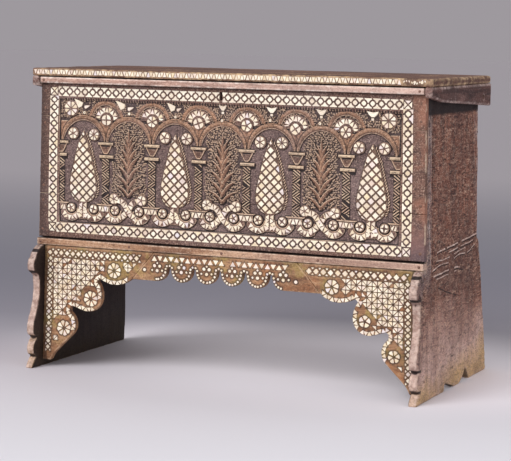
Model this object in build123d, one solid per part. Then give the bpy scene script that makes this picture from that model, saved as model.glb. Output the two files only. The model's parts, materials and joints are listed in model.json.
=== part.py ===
"""Dowry chest of walnut boards: a nailed case on leaning end boards, which run down to the
floor as scalloped feet, with a shaped apron, a pivoting lid and an iron lock.

Millimetres. X to the right, Y towards the back, Z up. The origin is at the middle of the
chest's bounding box, on the floor."""

from build123d import *
from math import cos, hypot, radians, sin, tan
import os

# ---------------------------------------------------------------- driving dimensions
# Case
case_half_width = 650.0       # outer face of an end board, at the case's lower edge
case_underside = 420.0        # floor to the lower edge of the front boards
case_depth = 530.0            # front face to back face
end_lean = 1.2                # degrees that each end board leans outward towards the floor
end_thickness = 26.0
front_thickness = 22.0
front_lower_height = 141.0
front_middle_height = 247.0
front_upper_height = 102.0
back_thickness = 22.0
back_lower_height = 260.0
board_seam = 0.8              # dried-out joint between boards laid edge to edge

# Sunk field of the front, which the carving stands in
field_depth = 6.0
field_margin_left = 66.0      # from the case's left edge to the sunk field
field_margin_right = 74.0
field_margin_top = 49.0
field_margin_bottom = 45.0

# Rail above the front boards and moulding below them
rail_height = 21.5
rail_proud = 15.0
end_rise = 2.2                # the end boards stand this much above the rail and carry the lid
moulding_height = 23.0
moulding_proud = 12.0
moulding_gap = 3.0            # shadow gap between the front boards and the moulding

# End boards below the case
foot_spread_front = 70.0      # how far the feet reach in front of the case
foot_spread_back_left = 40.0
foot_spread_back_right = 108.0
back_step_rise = 25.0         # the back edge starts to widen this far above the case's edge
back_step_width = 24.0
toe_end = 203.0               # from the case's front to the end of the front foot
toe_notch_height = 22.0
heel_front = 351.0            # pointed gap in the bottom edge
heel_apex = 417.0
heel_back = 459.0
heel_height = 42.0

# Apron between the end boards
apron_thickness = 22.0
apron_proud = 6.0             # in front of the case's front face
bracket_foot_gap = 21.0       # bracket's lower tip above the floor
bracket_width = 306.0         # from the end board to the lower end of the mitre
bracket_mitre = 78.0          # the mitre leans inward this much towards the top
arch_offset = 7.0             # the arch was cut this much to the right of the middle
strip_height = 90.0
strip_band_height = 50.0      # from the strip's top down to the notches' roofs
strip_lobe_pitch = 85.5
strip_lobe_gap = 11.5
strip_notches = 5
strip_offset = -10.0          # the notches' middle, seen from the chest's middle

# Floor of the case
sill_width = 30.0
sill_top_rise = 10.0          # top of the sills above the lower edge of the front boards
ledger_width = 24.0
ledger_height = 26.0
batten_width = 40.0
floor_thickness = 18.0
floor_boards = 3

# Lid
lid_thickness = 24.0
lid_front_overhang = 18.0
lid_back_overhang = 45.0
lid_boards = 3
lid_rest_gap = 0.3            # between the end boards' top edges and the lid
cleat_thickness = 23.0
cleat_side_gap = 1.2          # between a cleat and the widest part of the end board it passes
cleat_front_overhang = 20.0
cleat_back_overhang = 52.0
cleat_front_height = 30.0
cleat_knee_height = 48.0      # where the front slope of the cleat's lower edge ends
cleat_knee = 100.0            # from the case's front to that knee
cleat_back_height = 72.0
pin_radius = 7.0
pin_inset = 30.0              # from the case's back face to the pin's axis
pin_drop = 42.0               # from the end boards' top edge down to the pin's axis
pin_clearance = 0.05

# Lock
lock_offset = -15.0           # keyhole, seen from the chest's middle
lock_width = 110.0
lock_height = 76.0
lock_depth = 20.0
lock_wall = 2.0
lock_top_drop = 6.0           # from the end boards' top edge to the top of the lock
keyhole_width = 8.5
keyhole_height = 24.0
keyhole_drop = 23.0           # from the front boards' top edge to the keyhole's middle
bolt_length = 44.0
bolt_width = 5.0
bolt_height = 8.0
bolt_drop = 11.0              # from the top of the lock to the bolt's middle
bolt_throw = 14.0
bolt_clearance = 0.3
guide_width = 6.0
guide_length = 8.0
staple_thickness = 5.0
staple_width = 12.0
staple_wall = 3.0             # round the eye that the bolt enters
staple_eye_room = 1.0         # above and below the bolt in the eye
staple_setback = 3.0          # from the front boards' inner face to the staple
staple_plate_length = 50.0
staple_plate_thickness = 3.0
staple_swing_room = 2.0       # behind the staple in the slot, for its arc about the pins
staple_side_room = 1.2

# Nails
nail_radius = 1.8
nail_tip_radius = 0.9
nail_head_radius = 4.5
nail_head_height = 1.6
nail_length = 42.0
nail_clearance = 0.1
nail_end_distance = 13.0      # from a board's end to the nail
nail_edge_distance = 24.0     # from a board's long edge to the nail
lock_nail_length = 12.0
moulding_nails = 5

# ---------------------------------------------------------------- derived places
lean = tan(radians(end_lean))
front_top = case_underside + front_lower_height + front_middle_height + front_upper_height
rail_top = front_top + rail_height
end_top = rail_top + end_rise
lid_underside = end_top + lid_rest_gap
lid_top = lid_underside + lid_thickness
moulding_top = case_underside - moulding_gap
moulding_underside = moulding_top - moulding_height
apron_top = moulding_underside
apron_back = apron_thickness - apron_proud
back_inner = case_depth - back_thickness
sill_top = case_underside + sill_top_rise
floor_top = sill_top + floor_thickness
pin_y = case_depth - pin_inset
pin_z = end_top - pin_drop
lid_back = case_depth + lid_back_overhang
cleat_back = case_depth + cleat_back_overhang
cleat_low = lid_underside - cleat_back_height
lock_top = end_top - lock_top_drop
keyhole_z = front_top - keyhole_drop
bolt_z = lock_top - bolt_drop
plan_front = -foot_spread_front
plan_back = max(case_depth + foot_spread_back_right, case_depth + foot_spread_back_left,
                cleat_back, lid_back)
origin_y = (min(plan_front, -cleat_front_overhang, -lid_front_overhang) + plan_back) / 2


def half_width(z):
    """Outer face of an end board at height z."""
    return case_half_width - (z - case_underside) * lean


# A cleat swings past the end board down to this height, where the leaning board is wider.
cleat_reach = hypot(cleat_back - pin_y, pin_z - cleat_low)
cleat_inner = half_width(pin_z - cleat_reach) + cleat_side_gap
cleat_outer = cleat_inner + cleat_thickness


# ---------------------------------------------------------------- helpers
def trace(start, steps):
    """Closed outline from a start point and steps: a point for a straight run, a pair of
    points for an arc through the first to the second, a longer list for a smooth curve."""
    edges = []
    here = start
    for step in steps:
        points = [step] if isinstance(step, tuple) else step
        if len(points) == 1:
            edges.append(Line(here, points[0]))
        elif len(points) == 2:
            edges.append(ThreePointArc(here, points[0], points[1]))
        else:
            edges.append(Spline(here, *points))
        here = points[-1]
    edges.append(Line(here, start))
    return Wire(edges)


def prism_yz(outline, x_low, x_high):
    """Solid with an outline of (y, z) points, from one x to another."""
    face = make_face(Plane.YZ.offset(x_low) * outline)
    return extrude(face, amount=x_high - x_low, dir=(1, 0, 0))


def prism_xz(outline, y_low, y_high):
    """Solid with an outline of (x, z) points, from one y to another."""
    face = make_face(Plane.XZ.offset(-y_low) * outline)
    return extrude(face, amount=y_high - y_low, dir=(0, 1, 0))


def block(x_low, x_high, y_low, y_high, z_low, z_high):
    """Square block between two corners."""
    size = Box(x_high - x_low, y_high - y_low, z_high - z_low, align=(Align.MIN,) * 3)
    return Pos(x_low, y_low, z_low) * size


def span_board(inset_left, inset_right, y_low, y_high, z_low, z_high):
    """Board across the chest, its ends cut to the end boards' lean."""
    low_left = (-half_width(z_low) + inset_left, z_low)
    low_right = (half_width(z_low) - inset_right, z_low)
    high_right = (half_width(z_high) - inset_right, z_high)
    high_left = (-half_width(z_high) + inset_left, z_high)
    outline = Polyline(low_left, low_right, high_right, high_left, close=True)
    return prism_xz(outline, y_low, y_high)


def inner_board(y_low, y_high, z_low, z_high):
    """Board that fits between the end boards' inner faces."""
    return span_board(end_thickness, end_thickness, y_low, y_high, z_low, z_high)


def leaning_slab(side, outer_inset, inner_inset, y_low, y_high, z_low, z_high):
    """Slab parallel to the end board of one side, -1 for left and 1 for right."""
    outline = Polyline(
        (side * (half_width(z_low) - outer_inset), z_low),
        (side * (half_width(z_low) - inner_inset), z_low),
        (side * (half_width(z_high) - inner_inset), z_high),
        (side * (half_width(z_high) - outer_inset), z_high),
        close=True,
    )
    return prism_xz(outline, y_low, y_high)


def steps_between(low, high, count):
    """Edges of equal parts from low to high."""
    return [low + (high - low) * i / count for i in range(count + 1)]


# ---------------------------------------------------------------- nails
def nail(place, direction, length=nail_length):
    """Hand-made nail: a low head on the surface and a tapered shank along the direction."""
    head = Pos(0, 0, -nail_head_height / 2) * Cone(
        nail_head_radius * 0.45, nail_head_radius, nail_head_height
    )
    shank = Pos(0, 0, length / 2) * Cone(nail_radius, nail_tip_radius, length)
    return Plane(origin=place, z_dir=direction) * (head + shank)


def nail_bore(place, direction, length=nail_length):
    """Hole for a nail's shank, and for its head where that is sunk below a surface."""
    shank = Pos(0, 0, length / 2) * Cylinder(nail_radius + nail_clearance,
                                             length + 2 * nail_clearance)
    head = Pos(0, 0, -nail_head_height / 2) * Cylinder(nail_head_radius + nail_clearance,
                                                      nail_head_height)
    return Plane(origin=place, z_dir=direction) * (shank + head)


def drive(boards, places, direction, length=nail_length):
    """Bore the boards for a group of nails and return the bored boards and the nails."""
    bored = list(boards)
    for place in places:
        bore = nail_bore(place, direction, length)
        bored = [board - bore for board in bored]
    return bored, [nail(place, direction, length) for place in places]


# ---------------------------------------------------------------- end boards
def end_outline(side):
    """Side view of an end board: straight case part, scalloped front, flared feet."""
    foot_back = case_depth + (foot_spread_back_right if side > 0 else foot_spread_back_left)

    def front(reach, height):
        """Point of the front edge: reach as a share of the spread, height of the ledge."""
        return (-foot_spread_front * reach, moulding_underside * height)

    step_top = case_underside + back_step_rise
    step_low = (case_depth + back_step_width, step_top - 1.4 * back_step_width)
    back_middle = ((step_low[0] + foot_back) / 2 + 5, step_low[1] / 2)
    round_y = (pin_drop ** 2 - pin_inset ** 2) ** 0.5
    notches = []                      # the left board stands on its whole lower edge
    if side > 0:
        notches = [
            (toe_end, 0),
            [(toe_end + 2, toe_notch_height * 0.7), (toe_end + 16, toe_notch_height)],
            [(toe_end + 60, toe_notch_height * 0.45), (toe_end + 100, 0)],
            (heel_front, 0),
            [(heel_apex - 16, heel_height * 0.6), (heel_apex, heel_height)],
            (heel_back, 0),
        ]
    return trace(
        (front_thickness, end_top),
        [
            (front_thickness, moulding_underside),
            (-moulding_proud, moulding_underside),
            front(0.32, 0.995),
            [front(0.60, 0.967), front(0.81, 0.919)],     # small lobe under the ledge
            front(0.62, 0.912),                           # knife-thin slit
            front(0.81, 0.905),
            [front(1.00, 0.858), front(0.86, 0.789)],     # second lobe
            front(0.51, 0.754),                           # deep notch
            front(0.51, 0.739),
            [front(0.45, 0.665), front(0.51, 0.546), front(0.77, 0.426),
             front(0.94, 0.335), front(0.88, 0.279)],     # long hollow leg
            front(0.57, 0.249),
            front(0.57, 0.236),
            [front(0.90, 0.168), front(0.83, 0.112)],     # ankle lobe
            front(0.60, 0.096),
            front(0.60, 0.086),
            [front(0.84, 0.046), front(1.00, 0.0)],       # toe
            *notches,
            (foot_back, 0),
            [back_middle, step_low],
            [(case_depth + 0.75 * back_step_width, step_top - 0.5 * back_step_width),
             (case_depth, step_top)],
            (case_depth, pin_z + round_y),
            [(pin_y + pin_drop * sin(radians(20)), pin_z + pin_drop * cos(radians(20))),
             (pin_y, end_top)],
        ],
    )


def end_board(side):
    """One end board, leaning, with the bore that the lid's pin turns in."""
    slab = leaning_slab(side, 0, end_thickness, plan_front, plan_back, 0, end_top)
    reach = case_half_width * 1.2
    profile = prism_yz(end_outline(side), 0, reach)
    if side < 0:
        profile = mirror(profile, about=Plane.YZ)
    bore = Pos(side * reach / 2, pin_y, pin_z) * Rot(0, 90, 0) * Cylinder(
        pin_radius + pin_clearance, reach
    )
    return profile & slab - bore


# ---------------------------------------------------------------- case front and back
def front_boards():
    """Three boards, the sunk field and the keyhole cut through them."""
    heights = [front_lower_height, front_middle_height, front_upper_height]
    field = span_board(
        field_margin_left, field_margin_right, 0, field_depth,
        case_underside + field_margin_bottom, front_top - field_margin_top,
    )
    keyhole = block(
        lock_offset - keyhole_width / 2, lock_offset + keyhole_width / 2, 0, front_thickness,
        keyhole_z - keyhole_height / 2, keyhole_z + keyhole_height / 2,
    )
    boards = []
    low = case_underside
    for height in heights:
        top = low + height
        seam = 0 if height is heights[-1] else board_seam
        boards.append(span_board(0, 0, 0, front_thickness, low, top - seam) - field - keyhole)
        low = top
    return boards


def back_boards():
    """Two boards between the end boards, the upper one rounded about the lid's pins."""
    split = case_underside + back_lower_height
    lower = inner_board(back_inner, case_depth, case_underside, split - board_seam)
    upper = inner_board(back_inner, case_depth, split, end_top)
    reach = 2 * case_half_width
    swept = block(-reach, reach, pin_y, case_depth + 1, pin_z, end_top + 1)
    wheel = Pos(0, pin_y, pin_z) * Rot(0, 90, 0) * Cylinder(pin_drop, 2 * reach)
    return lower, upper - (swept - wheel)


# ---------------------------------------------------------------- apron
def bracket(side):
    """Corner bracket of the apron: three hanging lobes that step down to the foot."""
    low = bracket_foot_gap
    height = apron_top - low
    shift = side * arch_offset

    def spot(inward, drop):
        """Point from shares of the bracket's width and height, from its upper outer corner."""
        x = half_width(apron_top) - end_thickness - bracket_width * inward + shift
        return (side * x, apron_top - height * drop)

    mitre_top_x = half_width(apron_top) - end_thickness - bracket_width - bracket_mitre + shift
    mitre_low_x = mitre_top_x + bracket_mitre
    outer = half_width(0) + 10
    outline = trace(
        (side * mitre_top_x, apron_top),
        [
            (side * mitre_low_x, apron_top - strip_height),
            [spot(0.82, 0.304), spot(0.63, 0.257)],                       # inner lobe
            spot(0.60, 0.283),
            [spot(0.645, 0.350), spot(0.655, 0.415), spot(0.615, 0.506),
             spot(0.505, 0.552), spot(0.395, 0.536), spot(0.308, 0.512)],  # middle lobe
            spot(0.280, 0.525),
            spot(0.278, 0.565),
            [spot(0.350, 0.670), spot(0.315, 0.755)],                     # outer lobe
            spot(0.100, 0.930),
            [spot(0.070, 0.965), spot(0.050, 1.0)],
            (side * outer, low),
            (side * outer, apron_top),
        ],
    )
    trim = inner_board(-apron_proud, apron_back, low, apron_top)
    return prism_xz(outline, -apron_proud, apron_back) & trim


def centre_strip():
    """Middle of the apron: a mitred strip with a row of hanging lobes."""
    top = half_width(apron_top) - end_thickness - bracket_width - bracket_mitre
    low = top + bracket_mitre
    strip_low = apron_top - strip_height
    outline = Polyline(
        (-top + arch_offset, apron_top), (top + arch_offset, apron_top),
        (low + arch_offset, strip_low), (-low + arch_offset, strip_low), close=True,
    )
    strip = prism_xz(outline, -apron_proud, apron_back)
    lobe_top = apron_top - strip_band_height
    lobe_drop = strip_height - strip_band_height
    lobe_half = (strip_lobe_pitch - strip_lobe_gap) / 2
    first = strip_offset - strip_lobe_pitch * (strip_notches - 1) / 2
    for i in range(strip_notches):
        x = first + i * strip_lobe_pitch
        gap = block(x - strip_lobe_pitch / 2, x + strip_lobe_pitch / 2,
                    -apron_proud, apron_back, strip_low, lobe_top)
        for side in (-1, 1):
            centre = (x + side * strip_lobe_pitch / 2, lobe_top)
            lobe = Pos(*centre) * Ellipse(lobe_half, lobe_drop)
            gap -= extrude(Plane.XZ.offset(apron_proud) * lobe, amount=apron_thickness,
                           dir=(0, 1, 0))
        crown = Pos(x, 0, lobe_top) * Rot(90, 0, 0) * Cylinder(strip_lobe_gap / 2,
                                                                4 * apron_thickness)
        strip = strip - gap - crown
    return strip


# ---------------------------------------------------------------- floor of the case
def sills():
    """Front and back sills, which close the case's lower edge and carry the floor."""
    front = inner_board(front_thickness, front_thickness + sill_width,
                        moulding_underside, sill_top)
    back = inner_board(back_inner - sill_width, back_inner, moulding_underside, sill_top)
    return front, back


def ledger(side):
    """Strip on an end board's inner face under the floor boards' ends."""
    return leaning_slab(
        side, end_thickness, end_thickness + ledger_width, front_thickness + sill_width,
        back_inner - sill_width, sill_top - ledger_height, sill_top,
    )


def floor_planks():
    """Floor boards along the chest, seams between them."""
    edges = steps_between(front_thickness, back_inner, floor_boards)
    planks = []
    for low, high in zip(edges, edges[1:]):
        seam = 0 if high == edges[-1] else board_seam
        planks.append(inner_board(low, high - seam, sill_top, floor_top))
    return planks


# ---------------------------------------------------------------- lid
def lid_planks():
    """Lid boards along the chest, resting on the cleats."""
    edges = steps_between(-lid_front_overhang, lid_back, lid_boards)
    planks = []
    for low, high in zip(edges, edges[1:]):
        seam = 0 if high == edges[-1] else board_seam
        planks.append(block(-cleat_outer, cleat_outer, low, high - seam, lid_underside, lid_top))
    return planks


def lid_cleat(side):
    """End cleat below the lid boards, outside the end board, bored for the pin."""
    outline = trace(
        (-cleat_front_overhang, lid_underside),
        [
            (-cleat_front_overhang, lid_underside - cleat_front_height),
            (cleat_knee, lid_underside - cleat_knee_height),
            (cleat_back, cleat_low),
            (cleat_back, lid_underside),
        ],
    )
    cleat = prism_yz(outline, cleat_inner, cleat_outer)
    bore = Pos(cleat_inner, pin_y, pin_z) * Rot(0, 90, 0) * Cylinder(
        pin_radius + pin_clearance, 4 * cleat_thickness
    )
    cleat -= bore
    return cleat if side > 0 else mirror(cleat, about=Plane.YZ)


def hinge_pin(side):
    """Pin through a cleat and the end board, flush with the cleat's outer face."""
    inner = half_width(pin_z) - end_thickness
    length = cleat_outer - inner
    pin = Pos(inner + length / 2, pin_y, pin_z) * Rot(0, 90, 0) * Cylinder(pin_radius, length)
    return pin if side > 0 else mirror(pin, about=Plane.YZ)


# ---------------------------------------------------------------- lock
def lock_parts():
    """Iron lock on the front boards' inner face: case, sliding bolt, and the lid's staple."""
    face = front_thickness
    left = lock_offset - lock_width / 2
    right = lock_offset + lock_width / 2
    low = lock_top - lock_height
    case = block(left, right, face, face + lock_depth, low, lock_top)
    hollow = block(left + lock_wall, right - lock_wall, face, face + lock_depth - lock_wall,
                   low + lock_wall, lock_top - lock_wall)
    case -= hollow

    staple_front = face + staple_setback
    staple_back = staple_front + staple_width
    staple_left = lock_offset - staple_thickness / 2
    staple_right = lock_offset + staple_thickness / 2
    eye_low = bolt_z - bolt_height / 2 - staple_eye_room
    eye_high = bolt_z + bolt_height / 2 + staple_eye_room
    slot = block(staple_left - staple_side_room, staple_right + staple_side_room,
                 face, staple_back + staple_swing_room, lock_top - lock_wall, lock_top)
    case -= slot

    # The bolt's middle plane is the staple's middle plane.
    bolt_y = staple_front + staple_width / 2
    bolt_tip = staple_left - staple_side_room
    bolt = block(bolt_tip - bolt_length, bolt_tip, bolt_y - bolt_width / 2,
                 bolt_y + bolt_width / 2, bolt_z - bolt_height / 2, bolt_z + bolt_height / 2)
    bolt_way = block(bolt_tip - bolt_length, bolt_tip + bolt_throw + guide_length,
                     bolt_y - bolt_width / 2 - bolt_clearance,
                     bolt_y + bolt_width / 2 + bolt_clearance,
                     bolt_z - bolt_height / 2 - bolt_clearance,
                     bolt_z + bolt_height / 2 + bolt_clearance)
    guide_starts = [bolt_tip - bolt_length + bolt_throw + 2, bolt_tip - 2 * guide_length,
                    staple_right + staple_side_room]
    for start in guide_starts:
        guide = block(start, start + guide_width, face, face + lock_depth - lock_wall,
                      bolt_z - bolt_height, lock_top - lock_wall)
        case += guide - bolt_way

    staple = block(staple_left, staple_right, staple_front, staple_back,
                   eye_low - staple_wall, lid_underside)
    staple -= block(staple_left, staple_right, staple_front + staple_wall,
                    staple_back - staple_wall, eye_low, eye_high)
    plate_half = staple_plate_length / 2
    staple += block(lock_offset - plate_half, lock_offset + plate_half, staple_front,
                    staple_back, lid_underside - staple_plate_thickness, lid_underside)
    return case, bolt, staple


# ---------------------------------------------------------------- nail places
def board_end_places(z_low, z_high, y, inset):
    """Two nails at each end of a front board, at a height near each long edge."""
    places = []
    for z in (z_low + nail_edge_distance, z_high - nail_edge_distance):
        for side in (-1, 1):
            places.append((side * (half_width(z) - inset), y, z))
    return places


# ---------------------------------------------------------------- assembly
parts = {}
end_left = end_board(-1)
end_right = end_board(1)
lower_front, middle_front, upper_front = front_boards()
lower_back, upper_back = back_boards()
front_sill, back_sill = sills()
left_ledger = ledger(-1)
right_ledger = ledger(1)
cross_batten = block(-batten_width / 2, batten_width / 2, front_thickness + sill_width,
                     back_inner - sill_width, sill_top - ledger_height, sill_top)
floors = floor_planks()
rail = span_board(0, 0, -rail_proud, front_thickness, front_top, rail_top)
moulding = span_board(0, 0, -moulding_proud, front_thickness, moulding_underside, moulding_top)
left_bracket = bracket(-1)
right_bracket = bracket(1)
strip = centre_strip()
lids = lid_planks()
left_cleat = lid_cleat(-1)
right_cleat = lid_cleat(1)
lock_case, lock_bolt, lock_staple = lock_parts()

# Nails of the front boards into the end boards' front edges
front_edges = [case_underside, case_underside + front_lower_height,
               front_top - front_upper_height, front_top]
front_places = []
for z_low, z_high in zip(front_edges, front_edges[1:]):
    front_places += board_end_places(z_low, z_high, 0, nail_end_distance)
bored, front_nails = drive(
    [end_left, end_right, lower_front, middle_front, upper_front], front_places, (0, 1, 0))
end_left, end_right, lower_front, middle_front, upper_front = bored

# Nails of the rail and the moulding
rail_z = front_top + rail_height / 2
moulding_z = (moulding_underside + moulding_top) / 2
rail_places = [(side * (half_width(rail_z) - nail_end_distance), -rail_proud, rail_z)
               for side in (-1, 1)]
moulding_reach = half_width(moulding_z) - nail_end_distance
moulding_places = [(x, -moulding_proud, moulding_z)
                   for x in steps_between(-moulding_reach, moulding_reach, moulding_nails - 1)]
trim_length = nail_length + moulding_proud
(end_left, end_right, rail), rail_nails = drive(
    [end_left, end_right, rail], rail_places, (0, 1, 0), trim_length)
(end_left, end_right, moulding, front_sill), moulding_nail_list = drive(
    [end_left, end_right, moulding, front_sill], moulding_places, (0, 1, 0), trim_length)

# Nails through the end boards into the back boards and the apron brackets
back_y = back_inner + back_thickness / 2
back_split = case_underside + back_lower_height
swept_low = pin_z - cleat_reach
back_heights = [case_underside + nail_edge_distance, back_split - nail_edge_distance,
                back_split + nail_edge_distance, swept_low - nail_edge_distance]
apron_y = (apron_back - apron_proud) / 2
apron_heights = [apron_top - nail_edge_distance, apron_top / 2, 3 * bracket_foot_gap]
end_nails = []
apron_nails = []
end_boards = {-1: end_left, 1: end_right}
brackets = {-1: left_bracket, 1: right_bracket}
for side in (-1, 1):
    # Square to the leaning face, and into the chest
    inward = (-side * cos(radians(end_lean)), 0, -sin(radians(end_lean)))
    back_places = [(side * half_width(z), back_y, z) for z in back_heights]
    bored, nails = drive([end_boards[side], lower_back, upper_back], back_places, inward)
    end_boards[side], lower_back, upper_back = bored
    end_nails += nails
    apron_places = [(side * half_width(z), apron_y, z) for z in apron_heights]
    bored, nails = drive([end_boards[side], brackets[side]], apron_places, inward)
    end_boards[side], brackets[side] = bored
    apron_nails += nails

# Nails of the floor boards into the ledgers
floor_inset = end_thickness + ledger_width / 2
floor_x = half_width(floor_top) - floor_inset
floor_edges = steps_between(front_thickness + sill_width, back_inner - sill_width,
                            floor_boards)
floor_places = []
for low, high in zip(floor_edges, floor_edges[1:]):
    for side in (-1, 1):
        floor_places.append((side * floor_x, (low + high) / 2, floor_top))
bored, floor_nails = drive(floors + [left_ledger, right_ledger], floor_places, (0, 0, -1),
                           floor_thickness + ledger_height / 2)
*floors, left_ledger, right_ledger = bored

# Nails of the lid boards into the cleats, their heads sunk flush with the lid's top
lid_x = (cleat_inner + cleat_outer) / 2
lid_edges = steps_between(-lid_front_overhang, lid_back, lid_boards)
lid_nail_length = lid_thickness + 0.6 * cleat_front_height
lid_places = []
for low, high in zip(lid_edges, lid_edges[1:]):
    for y in (low + nail_edge_distance, high - nail_edge_distance):
        lid_places += [(side * lid_x, y, lid_top - nail_head_height) for side in (-1, 1)]
bored, lid_nails = drive(lids + [left_cleat, right_cleat], lid_places, (0, 0, -1),
                         lid_nail_length)
*lids, left_cleat, right_cleat = bored

# Nails of the lock, through its back into the front board, and of the staple's plate
lock_face = front_thickness + lock_depth
lock_nail_z = lock_top - lock_height + 2 * nail_head_radius
lock_nail_x = lock_width / 2 - 2 * nail_head_radius
lock_places = [(lock_offset + side * lock_nail_x, lock_face, lock_nail_z)
               for side in (-1, 1)]
(lock_case, upper_front), lock_nails = drive(
    [lock_case, upper_front], lock_places, (0, -1, 0), lock_depth + lock_nail_length)
plate_y = front_thickness + staple_setback + staple_width / 2
plate_x = staple_plate_length / 2 - nail_head_radius - 1
plate_places = [(lock_offset + side * plate_x, plate_y, lid_underside - staple_plate_thickness)
                for side in (-1, 1)]
bored, staple_nails = drive([lids[0], lock_staple], plate_places, (0, 0, 1),
                            staple_plate_thickness + lock_nail_length)
lids[0], lock_staple = bored

parts["end_board_left"] = end_boards[-1]
parts["end_board_right"] = end_boards[1]
parts["front_board_lower"] = lower_front
parts["front_board_middle"] = middle_front
parts["front_board_upper"] = upper_front
parts["back_board_lower"] = lower_back
parts["back_board_upper"] = upper_back
parts["top_rail"] = rail
parts["base_moulding"] = moulding
parts["apron_bracket_left"] = brackets[-1]
parts["apron_bracket_right"] = brackets[1]
parts["apron_centre_strip"] = strip
parts["front_sill"] = front_sill
parts["back_sill"] = back_sill
parts["floor_ledger_left"] = left_ledger
parts["floor_ledger_right"] = right_ledger
parts["floor_cross_batten"] = cross_batten
for number, board in enumerate(floors, 1):
    parts[f"floor_board_{number}"] = board
for number, board in enumerate(lids, 1):
    parts[f"lid_board_{number}"] = board
parts["lid_cleat_left"] = left_cleat
parts["lid_cleat_right"] = right_cleat
parts["hinge_pin_left"] = hinge_pin(-1)
parts["hinge_pin_right"] = hinge_pin(1)
parts["lock_case"] = lock_case
parts["lock_bolt"] = lock_bolt
parts["lock_staple"] = lock_staple
parts["front_nails"] = Part() + front_nails + rail_nails
parts["moulding_nails"] = Part() + moulding_nail_list
parts["end_board_nails"] = Part() + end_nails
parts["apron_nails"] = Part() + apron_nails
parts["floor_nails"] = Part() + floor_nails
parts["lid_nails"] = Part() + lid_nails
parts["lock_nails"] = Part() + lock_nails
parts["staple_nails"] = Part() + staple_nails

os.makedirs("parts", exist_ok=True)
for name, shape in parts.items():
    export_step(Pos(0, -origin_y, 0) * shape, f"parts/{name}.step")
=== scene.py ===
"""An Ottoman Syrian walnut marriage chest, dressed round its CAD frame.

Lengths are in millimetres in the chest's own measure: x from the middle to the
right, y back from the front boards' face, z up from the floor. place() turns
them into the frame's metres.
"""

import itertools
import json
import math
import random

import bmesh
import bpy
import numpy as np
from mathutils import Matrix, Vector
from mathutils.bvhtree import BVHTree
from mathutils.kdtree import KDTree

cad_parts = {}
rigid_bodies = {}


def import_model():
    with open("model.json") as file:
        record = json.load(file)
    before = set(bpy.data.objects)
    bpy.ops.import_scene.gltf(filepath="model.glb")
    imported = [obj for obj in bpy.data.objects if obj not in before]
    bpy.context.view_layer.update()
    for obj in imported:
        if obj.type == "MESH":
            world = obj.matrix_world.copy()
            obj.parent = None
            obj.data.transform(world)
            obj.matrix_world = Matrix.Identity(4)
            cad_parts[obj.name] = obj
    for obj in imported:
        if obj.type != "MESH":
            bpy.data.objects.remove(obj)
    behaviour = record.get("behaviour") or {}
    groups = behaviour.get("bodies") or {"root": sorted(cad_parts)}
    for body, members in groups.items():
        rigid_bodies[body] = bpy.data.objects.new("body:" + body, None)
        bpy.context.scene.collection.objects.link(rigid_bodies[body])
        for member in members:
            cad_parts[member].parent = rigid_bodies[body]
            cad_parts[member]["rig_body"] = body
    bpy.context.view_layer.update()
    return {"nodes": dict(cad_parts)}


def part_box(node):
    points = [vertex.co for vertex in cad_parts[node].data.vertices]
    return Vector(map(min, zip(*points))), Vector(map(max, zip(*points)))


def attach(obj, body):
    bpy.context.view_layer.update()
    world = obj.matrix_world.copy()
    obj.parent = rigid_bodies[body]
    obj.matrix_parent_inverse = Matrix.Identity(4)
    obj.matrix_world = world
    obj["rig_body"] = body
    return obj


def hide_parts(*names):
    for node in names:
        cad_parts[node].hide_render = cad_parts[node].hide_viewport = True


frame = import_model()
nodes = frame["nodes"]

MM = 0.001
FACE_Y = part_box("front_board_upper")[0].y


def place(points):
    """Points in the chest's millimetres as points in the frame's metres."""
    out = np.array(points, float).reshape(-1, 3) * MM
    out[:, 1] += FACE_Y
    return out


def natural(points):
    """Points in the frame's metres as points in the chest's millimetres."""
    out = np.array(points, float).reshape(-1, 3)
    out[:, 1] -= FACE_Y
    return out / MM


def extent(node):
    """A node's lowest and highest corners in the chest's millimetres."""
    low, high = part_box(node)
    return natural([low, high])


# ---------------------------------------------------------------- noise

def lattice(ix, iy, iz, seed):
    """A random number from 0 to 1 for each whole-number point."""
    n = ix * 374761393 + iy * 668265263 + iz * 2147483647 + seed * 974634777
    n = (n ^ (n >> 13)) & 0xFFFFFFFF
    n = (n * 1274126177) & 0xFFFFFFFF
    n = n ^ (n >> 16)
    return (n & 0xFFFF) / 65535.0


def noise(points, size, seed):
    """Smooth noise from -1 to 1, with cells of the given size along x, y and z."""
    q = np.asarray(points, float) / np.asarray(size, float)
    cell = np.floor(q).astype(np.int64)
    f = q - cell
    f = f * f * (3 - 2 * f)
    total = np.zeros(len(q))
    for step in itertools.product((0, 1), repeat=3):
        share = np.where(step, f, 1 - f)
        corner = lattice(*(cell + step).T, seed)
        total += share[:, 0] * share[:, 1] * share[:, 2] * corner
    return total * 2 - 1


def noise_xz(x, z, size, seed):
    """The same noise over a flat grid."""
    points = np.stack([np.ravel(x), np.zeros(np.size(x)), np.ravel(z)], 1)
    return noise(points, (size[0], 1.0, size[1]), seed).reshape(np.shape(x))


def smoothstep(value, low, high):
    t = np.clip((value - low) / (high - low), 0, 1)
    return t * t * (3 - 2 * t)


# ---------------------------------------------------------------- shading helpers

def srgb(red, green, blue):
    """A colour given as 8-bit screen values, as Blender's linear colour."""
    def channel(value):
        value /= 255
        return value / 12.92 if value <= 0.04045 else ((value + 0.055) / 1.055) ** 2.4
    return (channel(red), channel(green), channel(blue), 1.0)


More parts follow.
